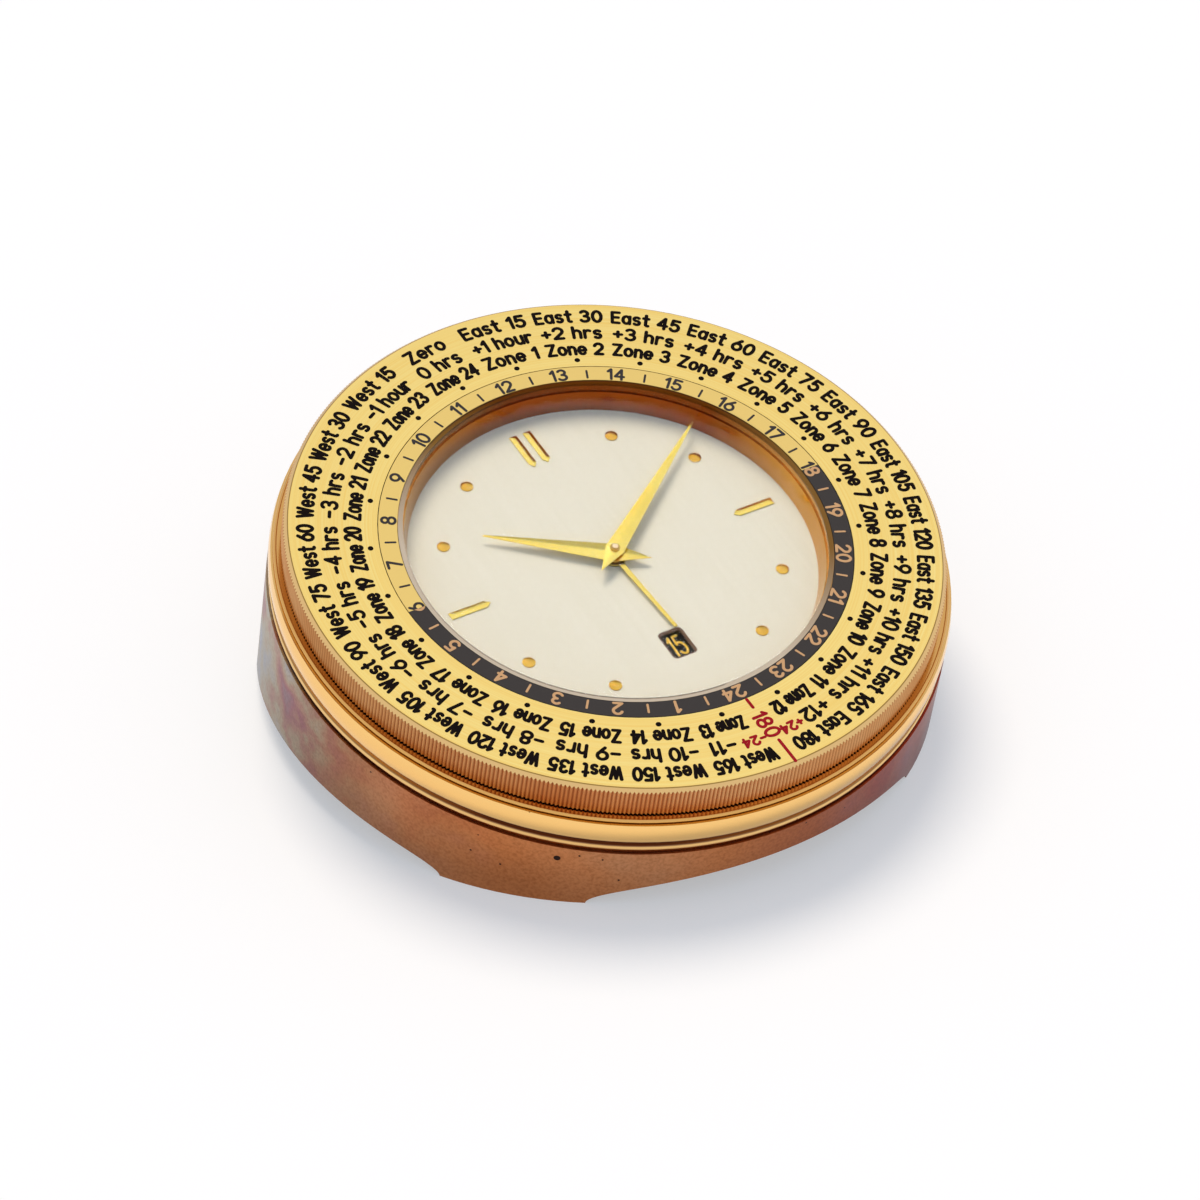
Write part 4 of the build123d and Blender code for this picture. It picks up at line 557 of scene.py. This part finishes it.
# %% Strokes of each letter
SMALL = 0.7      # height of the small letters
ARC_STEP = 15      # degrees from point to point on a round stroke


def arc(x, y, wide, high, start, end):
    """Points of a round stroke: centre, half width, half height, and the angles it runs between."""
    steps = max(2, round(abs(end - start) / ARC_STEP))
    angles = [radians(start + (end - start) * i / steps) for i in range(steps + 1)]
    return [(x + wide * cos(a), y + high * sin(a)) for a in angles]


def lines(*points):
    """A straight stroke for each pair of points that follow each other."""
    return [list(pair) for pair in zip(points, points[1:])]


ARCH = [arc(0.24, 0.42, 0.24, 0.28, 180, 0)] + lines((0.48, 0.42), (0.48, 0))
LETTERS = {
    " ": [[(0.0, 0.0), (0.16, 0.0)]],
    "0": [arc(0.31, 0.5, 0.31, 0.5, 0, 360)],
    "1": lines((0.02, 0.78), (0.24, 1), (0.24, 0)),
    "2": [arc(0.3, 0.7, 0.3, 0.3, 165, -38)] + lines((0.536, 0.515), (0, 0), (0.6, 0)),
    "3": [arc(0.29, 0.76, 0.26, 0.24, 150, -90), arc(0.29, 0.26, 0.31, 0.26, 90, -150)],
    "4": lines((0.46, 0), (0.46, 1), (0, 0.3), (0.62, 0.3)),
    "5": lines((0.56, 1), (0.12, 1), (0.07, 0.55)) + [arc(0.29, 0.32, 0.31, 0.32, 135, -150)],
    "6": [arc(0.31, 0.32, 0.31, 0.32, 0, 360)] + lines((0.45, 1), (0.035, 0.46)),
    "7": lines((0, 1), (0.58, 1), (0.2, 0)),
    "8": [arc(0.31, 0.76, 0.25, 0.24, 0, 360), arc(0.31, 0.26, 0.31, 0.26, 0, 360)],
    "9": [arc(0.31, 0.68, 0.31, 0.32, 0, 360)] + lines((0.17, 0), (0.585, 0.54)),
    "E": lines((0, 0), (0, 1), (0.5, 1)) + lines((0, 0.52), (0.44, 0.52)) + lines((0, 0), (0.5, 0)),
    "W": lines((0, 1), (0.22, 0), (0.44, 0.95), (0.66, 0), (0.88, 1)),
    "Z": lines((0, 1), (0.58, 1), (0, 0), (0.6, 0)),
    "a": [arc(0.25, SMALL / 2, 0.25, SMALL / 2, 0, 360)] + lines((0.5, SMALL), (0.5, 0)),
    "e": [arc(0.27, SMALL / 2, 0.27, SMALL / 2, 0, 315)] + lines((0.0, SMALL / 2), (0.54, SMALL / 2)),
    "h": lines((0, 0), (0, 1)) + ARCH,
    "n": lines((0, 0), (0, SMALL)) + ARCH,
    "o": [arc(0.27, SMALL / 2, 0.27, SMALL / 2, 0, 360)],
    "r": lines((0, 0), (0, SMALL)) + [arc(0.24, 0.42, 0.24, 0.28, 180, 60)],
    "s": [arc(0.22, 0.53, 0.2, 0.17, 40, 270), arc(0.22, 0.18, 0.21, 0.18, 90, -140)],
    "t": (lines((0.17, 1), (0.17, 0.14)) + [arc(0.31, 0.14, 0.14, 0.14, 180, 290)]
          + lines((0, SMALL), (0.36, SMALL))),
    "u": (lines((0, SMALL), (0, 0.28)) + [arc(0.24, 0.28, 0.24, 0.28, 180, 360)]
          + lines((0.48, SMALL), (0.48, 0))),
    "+": lines((0, 0.45), (0.5, 0.45)) + lines((0.25, 0.2), (0.25, 0.7)),
    "-": lines((0, 0.45), (0.46, 0.45)),
}
print(len(LETTERS), "letters and figures")

# %% [markdown]
# ## From strokes to ribbons
# The round tool had a width, so each stroke becomes a ribbon with round ends. A wide line could be drawn with
# a curve and a bevel, but a mesh of its own keeps the ends round and the count of faces low. A stroke that
# comes back to its start, such as an o, is closed and has no ends.

# %% Ribbons with round ends
END_ANGLES = [radians(angle) for angle in (30, 60, 85)]
CLOSING_SHARE = 0.01      # a stroke closes if its ends meet within this share of half its width


def ribbon(points, half):
    """Pairs of edge points along a stroke, rounded at its ends unless it closes, and if it closes."""
    closed = (Vector(points[0]) - Vector(points[-1])).length < half * CLOSING_SHARE
    spine = [Vector(point) for point in (points[:-1] if closed else points)]
    rows = []
    for i, here in enumerate(spine):
        before = spine[i - 1] if closed or i else here
        after = spine[(i + 1) % len(spine)] if closed or i + 1 < len(spine) else here
        rows.append((here, (after - before).normalized(), half))
    if not closed:
        (first, ahead, _), (last, on, _) = rows[0], rows[-1]
        rows = ([(first - ahead * half * sin(a), ahead, half * cos(a)) for a in reversed(END_ANGLES)] + rows
                + [(last + on * half * sin(a), on, half * cos(a)) for a in END_ANGLES])
    sides = [(here, Vector((-way.y, way.x)) * wide) for here, way, wide in rows]
    return [(here + side, here - side) for here, side in sides], closed


print(len(ribbon([(0, 0), (1, 0)], 0.25)[0]), "rows in a straight stroke")

# %% [markdown]
# ## From ribbons to a mesh on a ring
# A word is set flat first, centred on x = 0, and then bent: x becomes an angle round the dial and y a
# radius. On the rings the letters stand with their feet to the centre; on the date ring they stand the
# other way, to read right in the window at 6 o'clock. Each stroke becomes a thin closed prism, raised a few
# hundredths of a millimetre so that the paint shows, and a hair higher than the one before, so that strokes
# that cross do not flicker.

# %% Lay strokes on the clock
PAINT_TOP_MM, PAINT_FOOT_MM, PAINT_STEP_MM = 0.03, -0.05, 0.002
LETTER_GAP = 0.29      # from the end of one letter's strokes to the next letter, in capital heights
ROW = 4      # corners in each row of a stroke: two on top and two below


def round_dial(turn, foot, top=0.0, inward=False):
    """Bends flat millimetres on to the dial: turn in degrees clockwise from 12, feet at radius foot."""
    way = -1 if inward else 1

    def bend(x, y, z):
        angle, radius = radians(turn) + way * x / foot, foot + way * y
        return DIAL @ (Vector((radius * sin(angle), radius * cos(angle), top + z)) * MM)
    return bend


def along_radius(turn, start):
    """Sets flat millimetres on the dial so that x runs outwards along a radius."""
    out = Vector((sin(radians(turn)), cos(radians(turn)), 0))
    left = Vector((-out.y, out.x, 0))

    def bend(x, y, z):
        return DIAL @ ((out * (start + x) + left * y + Vector((0, 0, z))) * MM)
    return bend


def lay(mesh, points, half, bend, order=0):
    """Adds one stroke to the mesh as a closed prism."""
    corners, faces = mesh
    edges, closed = ribbon(points, half)
    first, count = len(corners), len(edges)
    levels = (PAINT_TOP_MM + PAINT_STEP_MM * order, PAINT_FOOT_MM)
    for pair in edges:
        corners.extend(bend(side.x, side.y, z) for z in levels for side in pair)
    for i in range(count if closed else count - 1):
        a, b = first + ROW * i, first + ROW * ((i + 1) % count)
        faces.extend([(a, a + 1, b + 1, b), (a + 2, b + 2, b + 3, a + 3), (a, b, b + 2, a + 2),
                      (a + 1, a + 3, b + 3, b + 1)])
    if not closed:
        last = first + ROW * (count - 1)
        faces.extend([(first, first + 2, first + 3, first + 1), (last, last + 1, last + 3, last + 2)])


def write(mesh, text, tall, half, bend, slim=1.0, widest=None, middle=0.0):
    """Adds a word, tall mm high and centred, in slimmer letters where it would be wider than widest."""
    widths = [max(x for stroke in LETTERS[letter] for x, _ in stroke) for letter in text]
    length = (sum(widths) + LETTER_GAP * (len(text) - 1)) * tall * slim
    squeeze = min(1.0, (widest or length) / length) * slim
    x, order = -length / slim * squeeze / 2, 0
    for letter, width in zip(text, widths):
        for stroke in LETTERS[letter] if letter != " " else []:
            points = [(x + px * tall * squeeze, (py - middle) * tall) for px, py in stroke]
            lay(mesh, points, half, bend, order)
            order += 1
        x += (width + LETTER_GAP) * tall * squeeze


def show(name, mesh, material, body):
    """Makes an object of the laid strokes and lets it ride on a body of the clock."""
    data = bpy.data.meshes.new(name)
    data.from_pydata(mesh[0], [], mesh[1])
    shape = bmesh.new()
    shape.from_mesh(data)
    bmesh.ops.recalc_face_normals(shape, faces=shape.faces)
    shape.to_mesh(data)
    shape.free()
    data.materials.append(material)
    made = bpy.data.objects.new(name, data)
    bpy.context.scene.collection.objects.link(made)
    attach(made, body)
    print(name, "has", len(data.polygons), "faces")


print("paint stands", PAINT_TOP_MM, "mm proud")

# %% [markdown]
# ## Lettering on the turning ring
# For each of the 24 zones the ring carries three words, one above the other: how far east or west it lies,
# how many hours it is ahead or behind, and its number. The words could be spaced by their own lengths, but
# each zone has the same fifteen degrees, so long words are drawn slimmer. A dot at the inner edge points at
# the 24-hour ring.

# %% Zone lettering
LETTER_MM, PEN_MM = 2.6, 0.64
WORD_GAP_MM = 2.0
OUTER_FOOT_MM, MIDDLE_FOOT_MM, INNER_FOOT_MM = 52.9, 48.8, 44.7
ZONES = 24
ZONE_STEP = 360 / ZONES
ZONE_START, DOT_START = -8.7, 6.3
DOT_RADIUS_MM, DOT_MM = 43.2, 1.0
DOT_STROKE_MM = [(-0.01, 0), (0.01, 0)]      # so short a stroke that its round ends make a dot
LINE_ZONES = {12: -1, -11: 1}      # words beside the date line make room for it, to these sides
OUTER_SHIFT, MIDDLE_SHIFT, INNER_SHIFT = 0.6, 3.2, 1.3      # how far they move, in degrees
HOUR_WORDS = {1: " hour", -1: " hour", 12: "", -11: ""}      # a single hour, and short words by the line

zone_mesh = ([], [])
for zone in range(1 - ZONES // 2, 1 + ZONES // 2):
    side = "East" if zone > 0 else "West"
    sign = "+" if zone > 0 else "-" if zone else ""
    words = [(f"{side} {round(abs(zone) * ZONE_STEP)}" if zone else "Zero", OUTER_FOOT_MM, OUTER_SHIFT),
             (f"{sign}{abs(zone)}" + HOUR_WORDS.get(zone, " hrs"), MIDDLE_FOOT_MM, MIDDLE_SHIFT),
             (f"Zone {zone % ZONES or ZONES}", INNER_FOOT_MM, INNER_SHIFT)]
    for word, foot, shift in words:
        shift *= LINE_ZONES.get(zone, 0)
        room = radians(ZONE_STEP - 2 * abs(shift)) * foot - WORD_GAP_MM
        bend = round_dial(ZONE_START + ZONE_STEP * zone + shift, foot)
        write(zone_mesh, word, LETTER_MM, PEN_MM / 2, bend, widest=room)
for i in range(ZONES):
    lay(zone_mesh, DOT_STROKE_MM, DOT_MM / 2, round_dial(DOT_START + ZONE_STEP * i, DOT_RADIUS_MM))
show("zone_lettering", zone_mesh, letter_black, "zone_ring")

# %% [markdown]
# ## The date line
# The date line is red, between the twelfth zone east and the eleventh west. It could be one stroke across the
# ring, but as on the clock it is broken for its own words, which say how the date changes there.

# %% Date line
DATE_LINE, LINE_MM = 178.8, 0.58
INNER_LINE_MM, OUTER_LINE_MM = (41.9, 43.9), (52.0, 57.2)
LINE_WORD_MM, LINE_WORD_MIDDLE_MM = 2.6, 48.1
FIGURE_MM, FIGURE_PEN_MM, FIGURE_FOOT_MM, FIGURE_TURN = 1.8, 0.5, 49.6, 4.3

red_mesh = ([], [])
for start, end in (INNER_LINE_MM, OUTER_LINE_MM):
    lay(red_mesh, [(start, 0), (end, 0)], LINE_MM / 2, along_radius(DATE_LINE, 0))
write(red_mesh, "180", LINE_WORD_MM, LINE_MM / 2, along_radius(DATE_LINE, LINE_WORD_MIDDLE_MM), middle=0.5)
for word, turn in (("-24", DATE_LINE + FIGURE_TURN), ("+24", DATE_LINE - FIGURE_TURN)):
    write(red_mesh, word, FIGURE_MM, FIGURE_PEN_MM / 2, round_dial(turn, FIGURE_FOOT_MM))
show("date_line", red_mesh, line_red, "zone_ring")

# %% [markdown]
# ## Numbers of the 24-hour ring
# The 24-hour ring has its noon at the top, a number each hour and a short mark each half hour. Day and night
# could have a mesh each, but the paint changes its own colour where y passes zero, so one mesh has them all.

# %% Hour numbers
HOUR_MM, HOUR_PEN_MM, HOUR_FOOT_MM = 2.4, 0.5, 38.55
HOUR_SHIFT, NOON = 0.5, 12
TICK_MM, TICK_LENGTH_MM, TICK_START_MM = 0.4, 1.7, 38.75

hour_mesh = ([], [])
for hour in range(1, ZONES + 1):
    turn = (hour - NOON) * ZONE_STEP + HOUR_SHIFT
    write(hour_mesh, str(hour), HOUR_MM, HOUR_PEN_MM / 2, round_dial(turn, HOUR_FOOT_MM))
    half_past = along_radius(turn + ZONE_STEP / 2, TICK_START_MM)
    lay(hour_mesh, [(0, 0), (TICK_LENGTH_MM, 0)], TICK_MM / 2, half_past)
show("hour_numbers", hour_mesh, hour_paint, "case")

# %% [markdown]
# ## Dates
# The date ring below the dial carries 31 numbers in gold, one of which shows in the window: on this clock the
# 15th. One number would do for a picture, but the ring turns, so it has them all.

# %% Date numbers
DATE_MM, DATE_PEN_MM, DATE_SLIM = 4.2, 0.46, 0.6
DATE_MIDDLE_MM, DATE_TOP_MM = 21.8, -6.24
DATES, DATE_SHOWN, WINDOW_TURN = 31, 15, 180

date_mesh = ([], [])
for date in range(1, DATES + 1):
    turn = WINDOW_TURN - (date - DATE_SHOWN) * 360 / DATES
    bend = round_dial(turn, DATE_MIDDLE_MM + DATE_MM / 2, DATE_TOP_MM, inward=True)
    write(date_mesh, str(date), DATE_MM, DATE_PEN_MM / 2, bend, slim=DATE_SLIM)
show("date_numbers", date_mesh, date_gold, "date_ring")

# %% [markdown]
# ## A white room
# The clock was pictured on a white table under soft light. If the room were as bright as it looks, it would
# wash out every shadow. So what the camera, the metal and the glass see of it is white, while the light that
# it gives the matt surfaces is that of a plain pale room.

# %% What the camera, the metal and the glass see
def seen_white(tree):
    """1 for what is seen straight, mirrored or through the glass, and 0 for light going to matt surfaces."""
    path = add(tree, "LightPath").outputs
    seen = path["Is Camera Ray"]
    for kind in ("Is Glossy Ray", "Is Transmission Ray"):
        seen = calc(tree, "ADD", seen, path[kind])
    matt = add(tree, "Math", {0: seen, 1: path["Diffuse Depth"]}, operation="SUBTRACT", use_clamp=True)
    return matt.outputs[0]


print("the room is white to the eye and paler as a light")

# %% [markdown]
# ## The table
# The table is matt white and takes the clock's soft shadow. A white surface alone would look grey away from
# the lamp, so a share of it glows where it is seen.

# %% White table
TABLE_M, TABLE_GAP_MM = 6.0, 0.01
TABLE_GLOW, TABLE_ROUGHNESS = 0.42, 0.9

table_place = (0, 0, cad_box[0][2] - TABLE_GAP_MM * MM)
bpy.ops.mesh.primitive_plane_add(size=TABLE_M, location=table_place)
table = bpy.context.object
table.name = "table"
table_paint, tree, shader = finish("matt_white_table", {"Base Color": linear("#FAFAFA"),
                                                        "Roughness": TABLE_ROUGHNESS})
share = calc(tree, "MULTIPLY", seen_white(tree), TABLE_GLOW)
glow = add(tree, "Emission", {"Color": linear("#FFFFFF"), "Strength": 1.0})
mixed = add(tree, "MixShader", {0: share, 1: shader.outputs[0], 2: glow.outputs[0]})
connect(tree, tree.nodes["Material Output"], {"Surface": mixed.outputs[0]})
table.data.materials.append(table_paint)
print("table at z =", round(table.location.z, 5), "m")

# %% [markdown]
# ## The light
# The light comes from behind and above. The sun lamp is a wide one, as a large soft box would be; a small one
# would draw hard shadows under the hands. The far end of the room is unlit, and the polished gold needs
# that: metal that mirrors nothing dark looks like paint.

# %% Soft light
SUN_FROM = Vector((0.08, 0.5, 1.0))
SUN_STRENGTH, SUN_ANGLE, SUN_COLOUR = 2.4, 30, "#FFF0DC"
ROOM_LIGHT, ROOM_COLOUR = 0.58, "#D6E6FF"
DARK_END = Vector((0.52, 0.835, 0.174))      # the unlit end of the room, behind the clock
DARK_LEVEL, DARK_FULL, DARK_EDGE = 0.25, cos(radians(18)), cos(radians(40))

sun_data = bpy.data.lights.new("soft_box", "SUN")
sun_data.energy, sun_data.angle = SUN_STRENGTH, radians(SUN_ANGLE)
sun_data.color = linear(SUN_COLOUR)[:3]
sun = bpy.data.objects.new("soft_box", sun_data)
sun.rotation_euler = SUN_FROM.to_track_quat("Z", "Y").to_euler()
sun.visible_glossy = False      # the metal mirrors the white room and not the lamp
bpy.context.scene.collection.objects.link(sun)

room = bpy.data.worlds.new("white_room")
bpy.context.scene.world = room
room.use_nodes = True
tree = room.node_tree
seen = seen_white(tree)
look = add(tree, "TexCoord").outputs["Generated"]
toward = add(tree, "VectorMath", {0: look, 1: DARK_END}, operation="DOT_PRODUCT").outputs["Value"]
mirrored = span(tree, toward, DARK_EDGE, DARK_FULL, 1.0, DARK_LEVEL)
level = span(tree, seen, 0.0, 1.0, ROOM_LIGHT, mirrored)
straight = add(tree, "LightPath").outputs["Is Camera Ray"]
level = calc(tree, "MAXIMUM", level, straight)
tint = blend(tree, seen, ROOM_COLOUR, "#FFFFFF")
connect(tree, tree.nodes["Background"], {"Color": tint, "Strength": level})
print("sun", SUN_STRENGTH, "room", ROOM_LIGHT)

# %% [markdown]
# ## The camera
# The picture was taken with a long lens, from the left and above. A camera could be aimed at the middle of
# the clock, but the photographer held it a little askew, so its place and two of its directions are given in
# the dial's frame.

# %% Camera where the photographer stood
LENS_MM, SENSOR_MM = 170.54, 36.0
CAMERA_PLACE_MM = Vector((-413.3, -540.8, 714.1))
CAMERA_RIGHT = Vector((0.8555, -0.5065, 0.1074))
CAMERA_AHEAD = Vector((0.4130, 0.5423, -0.7317))

back = -CAMERA_AHEAD.normalized()
right = (CAMERA_RIGHT - back * CAMERA_RIGHT.dot(back)).normalized()
stand = Matrix((right, back.cross(right), back)).transposed().to_4x4()
stand.translation = CAMERA_PLACE_MM * MM
lens = bpy.data.cameras.new("camera")
lens.lens, lens.sensor_width = LENS_MM, SENSOR_MM
camera = bpy.data.objects.new("camera", lens)
camera.matrix_world = DIAL @ stand
bpy.context.scene.collection.objects.link(camera)
bpy.context.scene.camera = camera
bpy.context.scene.view_settings.view_transform = "Standard"
print("camera at", [round(part, 3) for part in camera.matrix_world.translation], "m")
